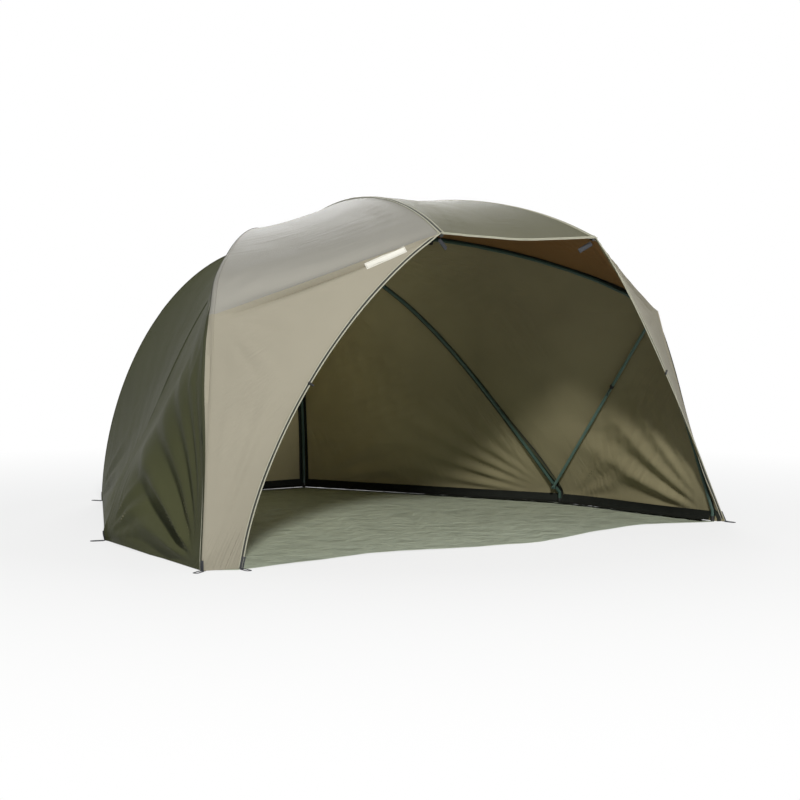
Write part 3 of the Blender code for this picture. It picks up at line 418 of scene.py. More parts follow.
# %% Frame finishes
def painted_tube(name, colour, worn, roughness):
    """Painted steel: even paint, small scuffs where the steel shows through a little."""
    finish = Finish(name, colour, roughness, Coat_Weight=0.2, Coat_Roughness=0.25)
    grime = finish.noise(finish.place(), 14.0, 5.0, 0.6)
    scuff = finish.noise(finish.stretched(finish.place(), (180.0, 180.0, 25.0)), 1.0, 3.0, 0.7)
    mask = scuff.clamped(0.66, 0.74)
    dusty = finish.mix(grime, colour, tuple(c * 1.5 for c in colour))
    finish.feed("Base Color", finish.mix(mask * 0.6, dusty, worn))
    finish.feed("Roughness", grime * 0.2 + (roughness - 0.08))
    finish.feed("Metallic", mask * 0.5)
    finish.feed("Normal", finish.bump(grime, 0.0003, 0.3))
    return finish.material


def moulded(name, colour, roughness):
    """Moulded plastic: a fine grain, with paler rubbed patches."""
    finish = Finish(name, colour, roughness)
    grain = finish.noise(finish.place(), 900.0, 2.0)
    rub = finish.noise(finish.place(), 35.0, 4.0, 0.6)
    rubbed = tuple(c * 2.2 + 0.01 for c in colour)
    finish.feed("Base Color", finish.mix(rub.clamped(0.45, 0.8) * 0.5, colour, rubbed))
    finish.feed("Roughness", rub * 0.2 + (roughness - 0.1))
    finish.feed("Normal", finish.bump(grain, 0.0002, 0.4))
    return finish.material


rib_paint = painted_tube("green rib paint", (0.030, 0.062, 0.050), (0.20, 0.22, 0.20), 0.36)
strut_paint = painted_tube("strut paint", (0.075, 0.135, 0.118), (0.28, 0.30, 0.28), 0.34)
black_plastic = moulded("black plastic", (0.013, 0.013, 0.013), 0.45)

# %% [markdown]
# ## Floor
# A plain pale floor, wide enough that its edge is never seen.

# %% Make the floor
FLOOR_REACH, FLOOR_Z = 60.0, -0.0006
WHITE_FROM, WHITE_AT, NEAR_WHITENESS = 1.6, 4.2, 0.74
floor_mesh = bpy.data.meshes.new("floor")
square = [(x * FLOOR_REACH, y * FLOOR_REACH, FLOOR_Z) for x, y in ((-1, -1), (1, -1), (1, 1), (-1, 1))]
floor_mesh.from_pydata(square, [], [(0, 1, 2, 3)])
floor = added("floor", floor_mesh)
paint = Finish("floor", (0.70, 0.70, 0.69), 0.9, Specular_IOR_Level=0.1)
away = paint.node("ShaderNodeVectorMath", {"operation": "LENGTH"}, {0: paint.place()}, "Value")
whiteness = away.clamped(WHITE_FROM, WHITE_AT) * (1.0 - NEAR_WHITENESS) + NEAR_WHITENESS
whiteness = paint.ray("Camera").larger(paint.ray("Glossy")) * whiteness
glow = paint.node("ShaderNodeEmission", None, {"Color": (*WHITE, 1.0), "Strength": 1.0})
painted = Link(paint, paint.shader.outputs[0])
surface = paint.node("ShaderNodeMixShader", None, {0: whiteness, 1: painted, 2: glow})
paint.tree.links.new(surface.socket, paint.tree.nodes["Material Output"].inputs["Surface"])
floor.data.materials.append(paint.material)

# %% [markdown]
# ## Rib lines
# The cloth follows the ribs, so it starts from the same curves as the frame: each rib is a cubic
# curve in its own upright plane, cut into the straight lengths that the model's tubes have. The
# cloth's rows sit on the ends of those lengths. A smooth curve through them bulges away from the
# tube, never into it.

# %% Values shared with the frame
HEAD = np.array([0.0, 0.55, 1.20])
PIN = (0.042, 1.20)
PEAK_TIP = (0.37, -1.22, 1.195)
PEAK_HANDLES = ((0.715, 1.425), (1.319, 1.422))
FRONT_FOOT = (1.25, -1.00)
ELBOW_SHARE, ELBOW_Z = 0.869, 0.897
FRONT_HANDLES = {"right": ((0.557, 1.372), (1.600, 1.070)), "left": ((0.557, 1.360), (1.700, 1.160))}
MID_FOOT, MID_HANDLES = (1.17, -0.07), ((0.560, 1.125), (0.850, 0.690))
REAR_FOOT, REAR_HANDLES = (0.560, 1.235), ((0.480, 1.200), (0.850, 0.640))
EDGE = {"right": ((0.740, -1.070, 0.970), (1.100, -1.000, 0.420), (1.290, -1.035, 0.002)),
        "left": ((0.720, -1.070, 0.930), (1.020, -1.000, 0.420), (1.120, -1.040, 0.002))}
FOOT_RUN_OUT = 0.050
COVER_OPEN_R = 0.074
CLEAR = 0.0091
HEM_Z = 0.002
SAG_ROOF, SAG_FRONT, SAG_SIDE, SAG_REAR = 0.012, 0.018, 0.020, 0.045
STRUT_RIDGE, STRUT_RIDGE_WIDTH = 0.098, 0.260
ROWS_UP, ROWS_DOWN = 13, 11
ROWS = ROWS_UP + ROWS_DOWN - 1
SIDES = {"right": 1.0, "left": -1.0}
INNER_POINT = np.array([0.0, 0.15, 0.35])
MIRROR = np.array([-1.0, 1.0, 1.0])


# %% Curves cut into rows
def bezier(points, count=2000):
    """(1-t)^3 a + 3t(1-t)^2 b + 3t^2(1-t) c + t^3 d, for all t at once."""
    p = np.array(points, float)
    t = np.linspace(0.0, 1.0, count)[:, None]
    return (1 - t) ** 3 * p[0] + 3 * t * (1 - t) ** 2 * p[1] + 3 * t ** 2 * (1 - t) * p[2] + t ** 3 * p[3]


def lengths(points):
    """Length along a line at each of its points, from 0."""
    return np.concatenate([[0.0], np.cumsum(np.linalg.norm(np.diff(points, axis=0), axis=1))])


def even(points, start, end, count):
    """The line at evenly spaced lengths from start to end."""
    s = lengths(points)
    at = np.linspace(start, end, count)
    return np.stack([np.interp(at, s, points[:, i]) for i in range(points.shape[1])], 1)


def upper_rows(curve, split_z=None):
    """Rows from the cover's rim to the eaves, and the length along the curve at the eaves."""
    s = lengths(curve)
    start = np.interp(COVER_OPEN_R, curve[:, 0], s)
    end = s[-1] if split_z is None else s[np.where((curve[:, 1] <= split_z) & (s > start))[0][0]]
    return even(curve, start, end, ROWS_UP), end


def lower_rows(curve, start, foot_run):
    """Rows from below the eaves to the hem, the last one straight down at the foot."""
    return np.vstack([even(curve, start, lengths(curve)[-1], ROWS_DOWN - 1)[1:], [[foot_run, HEM_Z]]])


def footed_rows(handles, foot_run):
    """All the rows of a rib that reaches the ground in one arch."""
    arch = bezier([PIN, *handles, (foot_run, FOOT_RUN_OUT)])
    upper, split = upper_rows(arch, ELBOW_Z)
    return np.vstack([upper, lower_rows(arch, split, foot_run)])


def rib_frame(end, flat):
    """Centre points, outward normals that halve each bend, and the direction across the rib."""
    e = unit([end[0] - HEAD[0], end[1] - HEAD[1], 0.0])
    d = unit(np.diff(flat, axis=0))
    before, after = np.vstack([d[:1], d]), np.vstack([d, d[-1:]])
    both = unit(before + after)
    stretch = 1.0 / np.einsum("ij,ij->i", both, before)
    centre = flat[:, :1] * e + HEAD * (1.0, 1.0, 0.0)
    centre[:, 2] = flat[:, 1]
    outward = -both[:, 1:] * stretch[:, None] * e
    outward[:, 2] = both[:, 0] * stretch
    return centre, outward, np.broadcast_to(np.cross(UP, e), centre.shape)


def ribs_of(side):
    """Frames of the four ribs on one side, worked out on the +X side."""
    ends = {"peak": PEAK_TIP, "front": FRONT_FOOT, "mid": MID_FOOT, "rear": REAR_FOOT}
    reach = {k: math.hypot(p[0], p[1] - HEAD[1]) for k, p in ends.items()}
    rows = {"peak": upper_rows(bezier([PIN, *PEAK_HANDLES, (reach["peak"], PEAK_TIP[2])]))[0]}
    elbow = (ELBOW_SHARE * reach["front"], ELBOW_Z)
    upper = upper_rows(bezier([PIN, *FRONT_HANDLES[side], elbow]))[0]
    leg = np.linspace(elbow, (reach["front"], FOOT_RUN_OUT), 50)
    rows["front"] = np.vstack([upper, lower_rows(leg, 0.0, reach["front"])])
    rows["mid"] = footed_rows(MID_HANDLES, reach["mid"])
    rows["rear"] = footed_rows(REAR_HANDLES, reach["rear"])
    return {k: rib_frame(ends[k], rows[k]) for k in rows}


print("rib rows", {k: v[0].shape for k, v in ribs_of("left").items()})

# %% [markdown]
# ## The cover's surface
# Between two ribs the cloth is pulled straight across and sags a little, which is a ruled surface
# with a bow. At a rib it wraps part of the way round the tube. All of that can be written for whole
# arrays of rows and columns. The rows are then made finer with a smooth curve through them.

# %% Surface functions
FINE = 10
HALF_GORE = 48
ARC = 5
ROOF_COLS = 34


def finer(lines, corner=None):
    """Catmull-Rom through the rows: b + t(c-a)/2 + t^2(2a-5b+4c-d)/2 + t^3(3b-3c+d-a)/2.

    A corner is a row at which the curve may bend sharply, as a rib does at its elbow.
    """
    if corner is not None:
        return np.concatenate([finer(lines[:corner + 1])[:-1], finer(lines[corner:])])
    p = np.concatenate([2 * lines[:1] - lines[1:2], lines, 2 * lines[-1:] - lines[-2:-1]])
    a, b, c, d = p[:-3], p[1:-2], p[2:-1], p[3:]
    t = (np.arange(FINE) / FINE).reshape(-1, *([1] * lines.ndim))
    q = b + t * (c - a) / 2 + t ** 2 * (2 * a - 5 * b + 4 * c - d) / 2 + t ** 3 * (3 * b - 3 * c + d - a) / 2
    return np.concatenate([np.moveaxis(q, 0, 1).reshape(-1, *lines.shape[1:]), lines[-1:]])


def wrap_angle(frame_rows, target):
    """How far round the tube the cloth lies before it leaves for the target."""
    centre, outward, across = frame_rows
    d = target - centre
    fall = -np.einsum("ij,ij->i", d, outward) / np.linalg.norm(outward, axis=1)
    away = np.abs(np.einsum("ij,ij->i", d, across))
    return np.clip(np.arctan2(fall, away), 0.0, math.radians(80.0))


def wrapped(frame_rows, radius, angle, sense, widest=None):
    """Points on the round of the rib, at an angle from its top, towards one side."""
    centre, outward, across = frame_rows
    reach = (radius / np.cos((angle if widest is None else widest) / 2))[:, None]
    return centre + reach * (np.cos(angle)[:, None] * outward + sense * np.sin(angle)[:, None] * across)


def round_of(frame_rows, radius, before, after):
    """Columns over the rib between the two lines at which the cloth leaves it."""
    widest = np.maximum(before, after)
    return [wrapped(frame_rows, radius, abs(s) * (before if s < 0 else after), -1.0 if s < 0 else 1.0, widest)
            for s in np.linspace(-1.0, 1.0, ARC + 2)[1:-1]]


def ruled(a, b, shares, sag, inward):
    """a(1-u) + b u, drawn in by 4u(1-u) of the sag, for all shares u at once: rows x columns x 3."""
    u = np.asarray(shares)[None, :, None]
    bow = 4.0 * u * (1.0 - u) * np.reshape(sag, (-1, 1, 1))
    return a[:, None] * (1 - u) + b[:, None] * u + inward[:, None] * bow


def inward_of(a, b):
    """Direction into the shelter from the middle of a gap."""
    return unit(INNER_POINT - (a + b) / 2)


# %% [markdown]
# A strut runs from each middle foot to the elbow in front of it, and the side cloth lies over it in
# a soft ridge. The lift is a bell across the strut times half a wave along it.


# %% Ridge over the strut
def strut_ends(side):
    """Foot and top of the strut from its box, on the +X side: it leans forwards, up and in."""
    low, high = (np.array(c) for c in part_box(f"side_strut_{side}"))
    near, far = sorted((abs(low[0]), abs(high[0])))
    return np.array([far, high[1], low[2]]), np.array([near, low[1], high[2]])


def over_strut(side, ribs, grid):
    """The grid with the ridge added: exp(-(distance / width)^2) sin(pi share) times its height."""
    bottom, top = strut_ends(side)
    length, along = np.linalg.norm(top - bottom), unit(top - bottom)
    eaves, foot = ribs["mid"][0][ROWS_UP - 1], ribs["front"][0][-1]
    outward = np.cross(foot - eaves, along)
    outward *= np.sign(outward[0]) / np.linalg.norm(outward)
    beside = np.cross(outward, along)
    d = grid - bottom
    share = np.clip((d @ along) / length, 0.0, 1.0)
    lift = STRUT_RIDGE * np.exp(-((d @ beside) / STRUT_RIDGE_WIDTH) ** 2) * np.sin(math.pi * share)
    return grid + lift[..., None] * outward


# %% All five panels of one side
def cover_of(side):
    """Grids of points and of looseness (0 at a rib, 1 in mid gore) for five panels, on the +X side."""
    ribs = ribs_of(side)
    row = np.arange(ROWS)
    radius = {k: np.full(len(ribs[k][0]), CLEAR) for k in ribs}
    past = row - (ROWS_UP - 1)
    radius["front"] += 0.0075 * np.clip(1.0 - np.maximum(-past - 1, past) / 2.0, 0, 1)
    radius["mid"] += 0.0060 * np.clip(2.0 - np.abs(ROWS - 1 - row - 1.5), 0, 1)
    up = slice(0, ROWS_UP)
    low = slice(ROWS_UP - 1, ROWS)

    def part(k, rows):
        return tuple(a[rows] for a in ribs[k])

    centre = {k: ribs[k][0] for k in ribs}
    angle = {
        "peak_in": wrap_angle(ribs["peak"], centre["peak"] * MIRROR),
        "peak_out": wrap_angle(ribs["peak"], centre["front"][up]),
        "front_in": wrap_angle(part("front", up), centre["peak"]),
        "front_out": wrap_angle(ribs["front"], centre["mid"]),
        "mid_in": wrap_angle(ribs["mid"], centre["front"]),
        "mid_out": wrap_angle(ribs["mid"], centre["rear"]),
        "rear_in": wrap_angle(ribs["rear"], centre["mid"]),
        "rear_out": wrap_angle(ribs["rear"], centre["rear"] * MIRROR),
    }
    peak_out = wrapped(ribs["peak"], radius["peak"], angle["peak_out"], 1)
    edge = bezier([peak_out[-1], *EDGE[side]], 200)
    edge = even(edge, 0.0, lengths(edge)[-1], ROWS_DOWN)
    angle["wing"] = wrap_angle(part("front", low), edge)
    peak_in = finer(wrapped(ribs["peak"], radius["peak"], angle["peak_in"], -1))
    peak_out = finer(peak_out)
    front_in = finer(wrapped(part("front", up), radius["front"][up], angle["front_in"], -1))
    wing_in = finer(wrapped(part("front", low), radius["front"][low], angle["wing"], -1))
    front_out = finer(wrapped(ribs["front"], radius["front"], angle["front_out"], 1), ROWS_UP - 1)
    mid_in = finer(wrapped(ribs["mid"], radius["mid"], angle["mid_in"], -1))
    mid_out = finer(wrapped(ribs["mid"], radius["mid"], angle["mid_out"], 1))
    rear_in = finer(wrapped(ribs["rear"], radius["rear"], angle["rear_in"], -1))
    rear_out = finer(wrapped(ribs["rear"], radius["rear"], angle["rear_out"], 1))
    edge = finer(edge)

    def arc(k, rows, before, after):
        cols = round_of(part(k, rows), radius[k][rows], before, after)
        return np.stack([finer(c) for c in cols], 1)

    arcs = {
        "peak": arc("peak", slice(None), angle["peak_in"], angle["peak_out"]),
        "front": arc("front", up, angle["front_in"], angle["front_out"][up]),
        "wing": arc("front", low, angle["wing"], angle["front_out"][low]),
        "mid": arc("mid", slice(None), angle["mid_in"], angle["mid_out"]),
        "rear": arc("rear", slice(None), angle["rear_in"], angle["rear_out"]),
    }
    n_up = (ROWS_UP - 1) * FINE + 1
    fine_row = np.arange((ROWS - 1) * FINE + 1) / FINE
    weight = np.clip(1.4 * np.arange(n_up) / (n_up - 1), 0.0, 1.0)
    at_hem = np.clip((ROWS - 1 - fine_row) / 3.0, 0.0, 1.0)
    long_weight = np.clip(1.4 * fine_row / (ROWS - 1), 0.0, 1.0) * at_hem
    first = 0.5 * np.linspace(0.0, 1.0, HALF_GORE) ** 1.3
    second = 1.0 - first[::-1]
    middle = peak_in * (0.0, 1.0, 1.0) - UP * (SAG_ROOF * weight)[:, None]
    roof_u = np.linspace(0.0, 1.0, ROOF_COLS)
    roof = middle[:, None] * (1 - roof_u[None, :, None]) + peak_in[:, None] * roof_u[None, :, None]
    front_dir = inward_of(peak_out, front_in)
    gore_front = [ruled(peak_out, front_in, u, SAG_FRONT * weight, front_dir) for u in (first, second)]
    side_dir = inward_of(front_out, mid_in)
    gore_side = [over_strut(side, ribs, ruled(front_out, mid_in, u, SAG_SIDE * long_weight, side_dir))
                 for u in (first, second)]
    rear_dir = inward_of(mid_out, rear_in)
    gore_rear = [ruled(mid_out, rear_in, u, SAG_REAR * long_weight, rear_dir) for u in (first, second)]
    back = rear_out * (0.0, 1.0, 1.0)
    gore_back = ruled(rear_out, rear_out * MIRROR, first, SAG_REAR * long_weight, inward_of(back, back))
    wing_u = np.concatenate([first, second[1:]])
    wing = ruled(edge, wing_in, wing_u, 0 * edge[:, 0], inward_of(edge, wing_in))
    crease = np.concatenate([gore_front[0][-1], gore_front[1][-1][1:]])
    fade = np.clip(1.0 - np.arange(len(wing)) / (3.0 * FINE), 0.0, 1.0) ** 2
    wing = wing + (crease - wing[0])[None] * fade[:, None, None]

    def loose(u, rows):
        return np.broadcast_to(np.sin(math.pi * np.asarray(u))[None, :], (rows, len(u)))

    def zeros(grid):
        return np.zeros(grid.shape[:2])

    n_all = len(fine_row)
    n_low = n_all - n_up + 1
    grids = {
        "peak": ([roof, arcs["peak"], gore_front[0]],
                 [loose(0.5 + roof_u / 2, n_up), zeros(arcs["peak"]), loose(first, n_up)]),
        "front": ([gore_front[1], arcs["front"], gore_side[0][:n_up]],
                  [loose(second, n_up), zeros(arcs["front"]), loose(first, n_up)]),
        "wing": ([wing, arcs["wing"], gore_side[0][n_up - 1:]],
                 [loose(wing_u, n_low), zeros(arcs["wing"]), loose(first, n_low)]),
        "mid": ([gore_side[1], arcs["mid"], gore_rear[0]],
                [loose(second, n_all), zeros(arcs["mid"]), loose(first, n_all)]),
        "rear": ([gore_rear[1], arcs["rear"], gore_back],
                 [loose(second, n_all), zeros(arcs["rear"]), loose(first, n_all)]),
    }
    return {k: (np.concatenate(g, 1), np.concatenate(m, 1)) for k, (g, m) in grids.items()}


PANELS = {}
for side, sign in SIDES.items():
    for key, (points, looseness) in cover_of(side).items():
        PANELS[key, side] = [points * (sign, 1.0, 1.0), looseness]
print("cover rows and columns", {k[0]: v[0].shape[:2] for k, v in PANELS.items() if k[1] == "left"})

# %% [markdown]
# ## Folds
# Stretched cloth is never flat: it fans out from each foot, puckers at the elbows and pulls in long
# lines from the tips of the peak. A fan is a set of bells in angle round one point, faded in and out
# with distance. It is a function of place, so the folds run on from one panel into the next.


# %% Fold functions
def smoothstep(x):
    """3x^2 - 2x^3 on 0 to 1, level beyond."""
    x = np.clip(x, 0.0, 1.0)
    return x * x * (3.0 - 2.0 * x)


def fan(points, origin, first, second, folds, near, far, depth=0.25):
    """Folds that spread from a point. Each is (angle, width, height), in degrees and metres.

    Height times exp(-((angle - its angle) / width)^2), faded in by near and out by far.
    """
    origin, first, second = (np.asarray(v, float) for v in (origin, first, second))
    a = unit(first - origin)
    b = second - origin
    b = unit(b - a * (b @ a))
    d = points - origin
    r = np.linalg.norm(d, axis=-1)
    angle = np.degrees(np.arctan2(d @ b, d @ a))
    off = np.exp(-((d @ np.cross(a, b)) / depth) ** 2)
    fade = smoothstep((r - 0.03) / near) * (1.0 - smoothstep((r - far * 0.35) / (far * 0.65))) * off
    total = np.zeros(points.shape[:-1])
    for at, width, height in folds:
        least = np.degrees(0.015 / np.maximum(r, 1e-3))
        bell = np.exp(-((angle - at) / np.maximum(width, least)) ** 2)
        total += height * np.minimum(1.0, (width / least) ** 1.5) * bell
    return total * fade


def ripples(points):
    """Low sums of sines: long soft waves in the cloth, and shorter ones across them."""
    x, y, z = points[..., 0], points[..., 1], points[..., 2]
    long = np.sin(5.1 * x + 3.3 * y + 1.7 * z) + np.sin(-2.9 * x + 6.1 * y + 4.4 * z + 1.0)
    short = np.sin(23 * x - 17 * y + 9 * z) * np.sin(13 * x + 19 * y - 21 * z + 2.0)
    return 0.0022 * long + 0.0008 * short


# Each fold is (angle, width, height), in degrees and metres, and each row below is one fan: the point
# it spreads from, the one it is measured from, the one it turns towards, how it fades, and its folds.
ELBOW = np.array([1.086, -0.797, ELBOW_Z])
EDGE_BEND = np.array([0.72, -1.07, 0.93])
TIP = np.array(PEAK_TIP)
FOOT, MID, REAR = (np.array([*c, 0.0]) for c in (FRONT_FOOT, MID_FOOT, REAR_FOOT))
FOOT_SHARE = {"left": 1.0, "right": 0.5}
FOOT_FOLDS = (
    (3, 1.6, 0.007), (6.5, 1.5, -0.008), (10, 1.8, 0.010), (14, 1.8, -0.010), (19, 2.4, 0.012),
    (25, 2.6, -0.014), (32, 3.0, 0.013), (39, 2.6, -0.016), (48, 4.2, 0.040), (56, 3.0, -0.026),
    (65, 3.6, 0.026), (73, 3.0, -0.014), (80, 3.0, 0.008))
FANS = (
    (MID, FOOT, ELBOW, (0.15, 0.65), (
        (12, 3.0, 0.007), (20, 3.0, -0.008), (28, 3.4, 0.009), (37, 3.4, -0.008), (46, 4.0, 0.006))),
    (MID, REAR, HEAD, (0.18, 0.95, 0.35), (
        (5, 1.8, 0.007), (9, 1.8, -0.010), (13.5, 1.9, 0.010), (18, 2.0, -0.011), (23, 2.0, 0.011),
        (28, 2.1, -0.010), (33, 2.2, 0.010), (38.5, 2.2, -0.008), (44, 2.4, 0.008), (50, 2.6, -0.006))),
    (REAR, MID, HEAD, (0.16, 0.80, 0.35), (
        (7, 2.2, 0.007), (13, 2.4, -0.010), (20, 2.6, 0.009), (28, 2.8, -0.008), (37, 3.2, 0.006))),
    (ELBOW, TIP, HEAD, (0.02, 0.34, 0.2), (
        (5, 2.6, 0.007), (12, 2.8, -0.007), (20, 3.0, 0.008), (30, 3.2, -0.008), (41, 3.6, 0.007),
        (54, 4.5, -0.006))),
    (ELBOW, TIP, FOOT, (0.02, 0.36, 0.2), (
        (7, 2.4, 0.007), (14, 2.6, -0.007), (23, 3.0, 0.007), (34, 3.4, -0.006), (47, 4.0, 0.004),
        (64, 3.6, 0.006), (75, 3.4, -0.008))),
    (ELBOW, MID, FOOT, (0.05, 0.40, 0.2), (
        (20, 4.0, 0.006), (33, 4.0, -0.006), (46, 4.0, 0.006), (60, 5.0, -0.006))),
    (TIP, ELBOW, HEAD, (0.15, 0.80, 0.2), (
        (2, 0.8, -0.003), (4.2, 0.8, 0.004), (6.6, 0.8, -0.003), (9, 0.9, 0.003), (12, 1.1, -0.002))),
    (FOOT, ELBOW, EDGE_BEND, (0.10, 0.85, 0.15), (
        (3.5, 1.0, -0.004), (6, 1.2, 0.004), (10, 1.4, -0.003), (15, 1.6, -0.004), (18.5, 1.5, 0.006),
        (22, 1.6, -0.004))))


def folds_at(points, side):
    """All the folds of one side, at points mirrored to the +X side."""
    p = points * (SIDES[side], 1.0, 1.0)
    h = ripples(p) + FOOT_SHARE[side] * fan(p, FOOT, ELBOW, MID, FOOT_FOLDS, 0.22, 1.00)
    for origin, first, second, fades, folds in FANS:
        h = h + fan(p, origin, first, second, folds, *fades)
    return h


def puckers(points):
    """Small crumples in patches: a fast pair of crossed sines, let through where a slow one is high."""
    x, y, z = points[..., 0], points[..., 1], points[..., 2]
    slow = np.sin(3.1 * x + 2.0 * y - 4.1 * z + 0.6) * np.sin(4.3 * x - 3.4 * y + 2.2 * z)
    patch = smoothstep((slow - 0.25) / 0.5)
    fast = np.sin(61 * x + 37 * y - 29 * z) * np.sin(-33 * x + 47 * y + 58 * z)
    return 0.0016 * fast * patch


def crease(key, grid):
    """A ridge where the roof turns down into the wing, with a hollow above it and a dent below.

    Bells in the distance from the crease row, measured along each column, less beyond 0.1 m.
    """
    step = np.linalg.norm(np.diff(grid, axis=0), axis=2)
    if key == "wing":
        d = -np.concatenate([np.zeros((1, grid.shape[1])), np.cumsum(step, 0)])
    elif key in ("front", "peak"):
        d = np.concatenate([np.cumsum(step[::-1], 0)[::-1], np.zeros((1, grid.shape[1]))])
    else:
        return np.zeros(grid.shape[:2])
    h = (0.0110 * np.exp(-(d / 0.010) ** 2) - 0.0080 * np.exp(-((d - 0.034) / 0.018) ** 2)
         + 0.0040 * np.exp(-((d - 0.085) / 0.024) ** 2) - 0.0130 * np.exp(-((d + 0.020) / 0.010) ** 2)
         + 0.0040 * np.exp(-((d + 0.058) / 0.018) ** 2))
    column = np.arange(grid.shape[1])
    on = {"wing": column < 2 * HALF_GORE - 1, "front": column < HALF_GORE,
          "peak": column >= ROOF_COLS + ARC}[key]
    return h * on[None]


def grid_normals(grid):
    """Cross product of the steps along rows and columns: area-weighted, not yet unit length."""
    return np.cross(np.gradient(grid, axis=0), np.gradient(grid, axis=1))


def shared_normals(grids):
    """Unit normals, the same where panels share a point, so that their edges stay together."""
    sizes = [g[..., 0].size for g in grids.values()]
    points = np.concatenate([g.reshape(-1, 3) for g in grids.values()])
    normals = []
    for g in grids.values():
        n = grid_normals(g)
        n = n * np.sign(np.sum(n * (g - INNER_POINT)))
        normals.append(n.reshape(-1, 3))
    normals = np.concatenate(normals)
    keys, index = np.unique(np.round(points, 5), axis=0, return_inverse=True)
    index = index.reshape(-1)
    total = np.zeros((len(keys), 3))
    np.add.at(total, index, normals)
    parts = np.split(unit(total)[index], np.cumsum(sizes)[:-1])
    return {k: n.reshape(g.shape) for (k, g), n in zip(grids.items(), parts)}


smooth_cover = {k: v[0] for k, v in PANELS.items()}
normals = shared_normals(smooth_cover)
cover = {}
for (key, side), grid in smooth_cover.items():
    amount = (folds_at(grid, side) + puckers(grid) + crease(key, grid)) * PANELS[key, side][1] ** 0.6
    amount = amount * np.clip(grid[..., 2] / 0.05, 0.0, 1.0)
    cover[key, side] = grid + normals[key, side] * amount[..., None]
normals = shared_normals(cover)
print("folds done")

# %% [markdown]
# ## From grid to cloth
# A sheet is two layers of faces with a narrow rim. The layers are set off from the grid along its
# normals, half the thickness each way, so the outside and the inside can have different finishes.


# %% Sheet mesh from a grid
def metres_map(grid):
    """Length across and along the cloth at each point, in metres."""
    steps = [np.linalg.norm(np.diff(grid, axis=axis), axis=2) for axis in (1, 0)]
    across = np.concatenate([np.zeros((len(grid), 1)), np.cumsum(steps[0], 1)], 1)
    along = np.concatenate([np.zeros((1, grid.shape[1])), np.cumsum(steps[1], 0)])
    return np.stack([across, along], -1)


def sheet_object(name, grid, normal, thickness, finishes, outer=0, inner=0, sharp=50.0):
    """Closed sheet: outer layer, inner layer and rim, with the map in metres.

    outer and inner give the number of a finish, for the whole layer or for each column of cells.
    """
    rows, cols = grid.shape[:2]
    count = rows * cols
    verts = np.concatenate([(grid + normal * thickness / 2).reshape(-1, 3),
                            (grid - normal * thickness / 2).reshape(-1, 3)])
    index = np.arange(count).reshape(rows, cols)
    quads = np.stack([index[:-1, :-1], index[1:, :-1], index[1:, 1:], index[:-1, 1:]], -1).reshape(-1, 4)
    rim = np.concatenate([index[0, :], index[1:, -1], index[-1, -2::-1], index[-2:0:-1, 0]])
    step = np.roll(rim, -1)
    sides = np.stack([rim, step, step + count, rim + count], -1)
    if np.sum(grid_normals(grid) * normal) < 0:
        quads, sides = quads[:, ::-1], sides[:, ::-1]
    faces = np.concatenate([quads, quads[:, ::-1] + count, sides])
    flat = np.tile(metres_map(grid).reshape(-1, 2), (2, 1))
    ob = mesh_object(name, verts, faces.tolist(), flat, finishes, sharp)
    slots = np.zeros(len(faces), np.int32)
    for layer, numbers in enumerate((outer, inner)):
        cells = slice(layer * len(quads), (layer + 1) * len(quads))
        slots[cells] = np.broadcast_to(numbers, (rows - 1, cols - 1)).ravel()
    ob.data.polygons.foreach_set("material_index", slots)
    ob.data.validate()
    return ob


def cloth_area(grid):
    """Half the length of the cross product of each cell's diagonals, summed."""
    a = grid[1:, 1:] - grid[:-1, :-1]
    b = grid[1:, :-1] - grid[:-1, 1:]
    return float(np.linalg.norm(np.cross(a, b), axis=-1).sum() / 2)


def declare(ob, grid):
    width, length = metres_map(grid).reshape(-1, 2).max(0).tolist()
    area = cloth_area(grid)
    print(ob.name, "flat", round(width, 3), "x", round(length, 3), "area", round(area, 4))


# %% [markdown]
# ## Cover panels
# Each panel rides on the rib that carries it.

# %% Make the cover
THICK = 0.0011
RIB_OF = {"peak": ("peak", PEAK_TIP), "front": ("front", FRONT_FOOT), "wing": ("leg", FRONT_FOOT),
          "mid": ("mid", MID_FOOT), "rear": ("rear", REAR_FOOT)}


def gather(piece, key, side):
    """Rides the piece on its rib, with a mesh of its own."""
    body, end = RIB_OF[key]
    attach(piece, f"{body}_{side}")
    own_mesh(piece)


RIB_COLUMN = {"peak": ROOF_COLS, "front": HALF_GORE, "wing": 2 * HALF_GORE - 1, "mid": HALF_GORE,
              "rear": HALF_GORE}
# Finish numbers, outside before and past the rib, then inside: 0 is the front copy painted paler as sunlight,
# 6 the facet copy painted paler and bluer as a sky reflection, 1 the side copy darker as painted shade.
BEFORE_AND_PAST = {"peak": (2, 6, 4, 4), "front": (6, 1, 4, 3), "wing": (0, 1, 3, 3), "mid": (1, 1, 3, 3),
                   "rear": (1, 1, 3, 3)}
panel_objects = {}
for (key, side), grid in cover.items():
    column = np.arange(grid.shape[1] - 1)
    rib = RIB_COLUMN[key] + ARC // 2
    out_before, out_past, in_before, in_past = BEFORE_AND_PAST[key]
    turn = rib + ARC // 2 + 1 if key in ("front", "wing") else rib
    outer = np.where(column < turn, out_before, out_past)
    inner = np.where(column < rib, in_before, in_past)
    inner[np.abs(column - rib + 0.5) < ARC / 2 + 1.0] = 5
    ob = sheet_object(f"{key}_cloth_{side}", grid, normals[key, side], THICK, COVER_FINISHES, outer, inner)
    gather(ob, key, side)
    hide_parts(f"{key}_panel_{side}")
    panel_objects[key, side] = ob
    print(ob.name, "faces", len(ob.data.polygons))

# %% [markdown]
# ## Groundsheet
# The sheet lies on the ground inside the feet. Its front edge isn't straight: it was thrown down and
# pulled roughly square, so it runs in and out, and long low waves cross it.

# %% Make the groundsheet
SHEET_FRONT_Y = np.array([-1.053, -1.029, -0.979, -1.069, -1.093, -0.999, -0.913, -1.019])


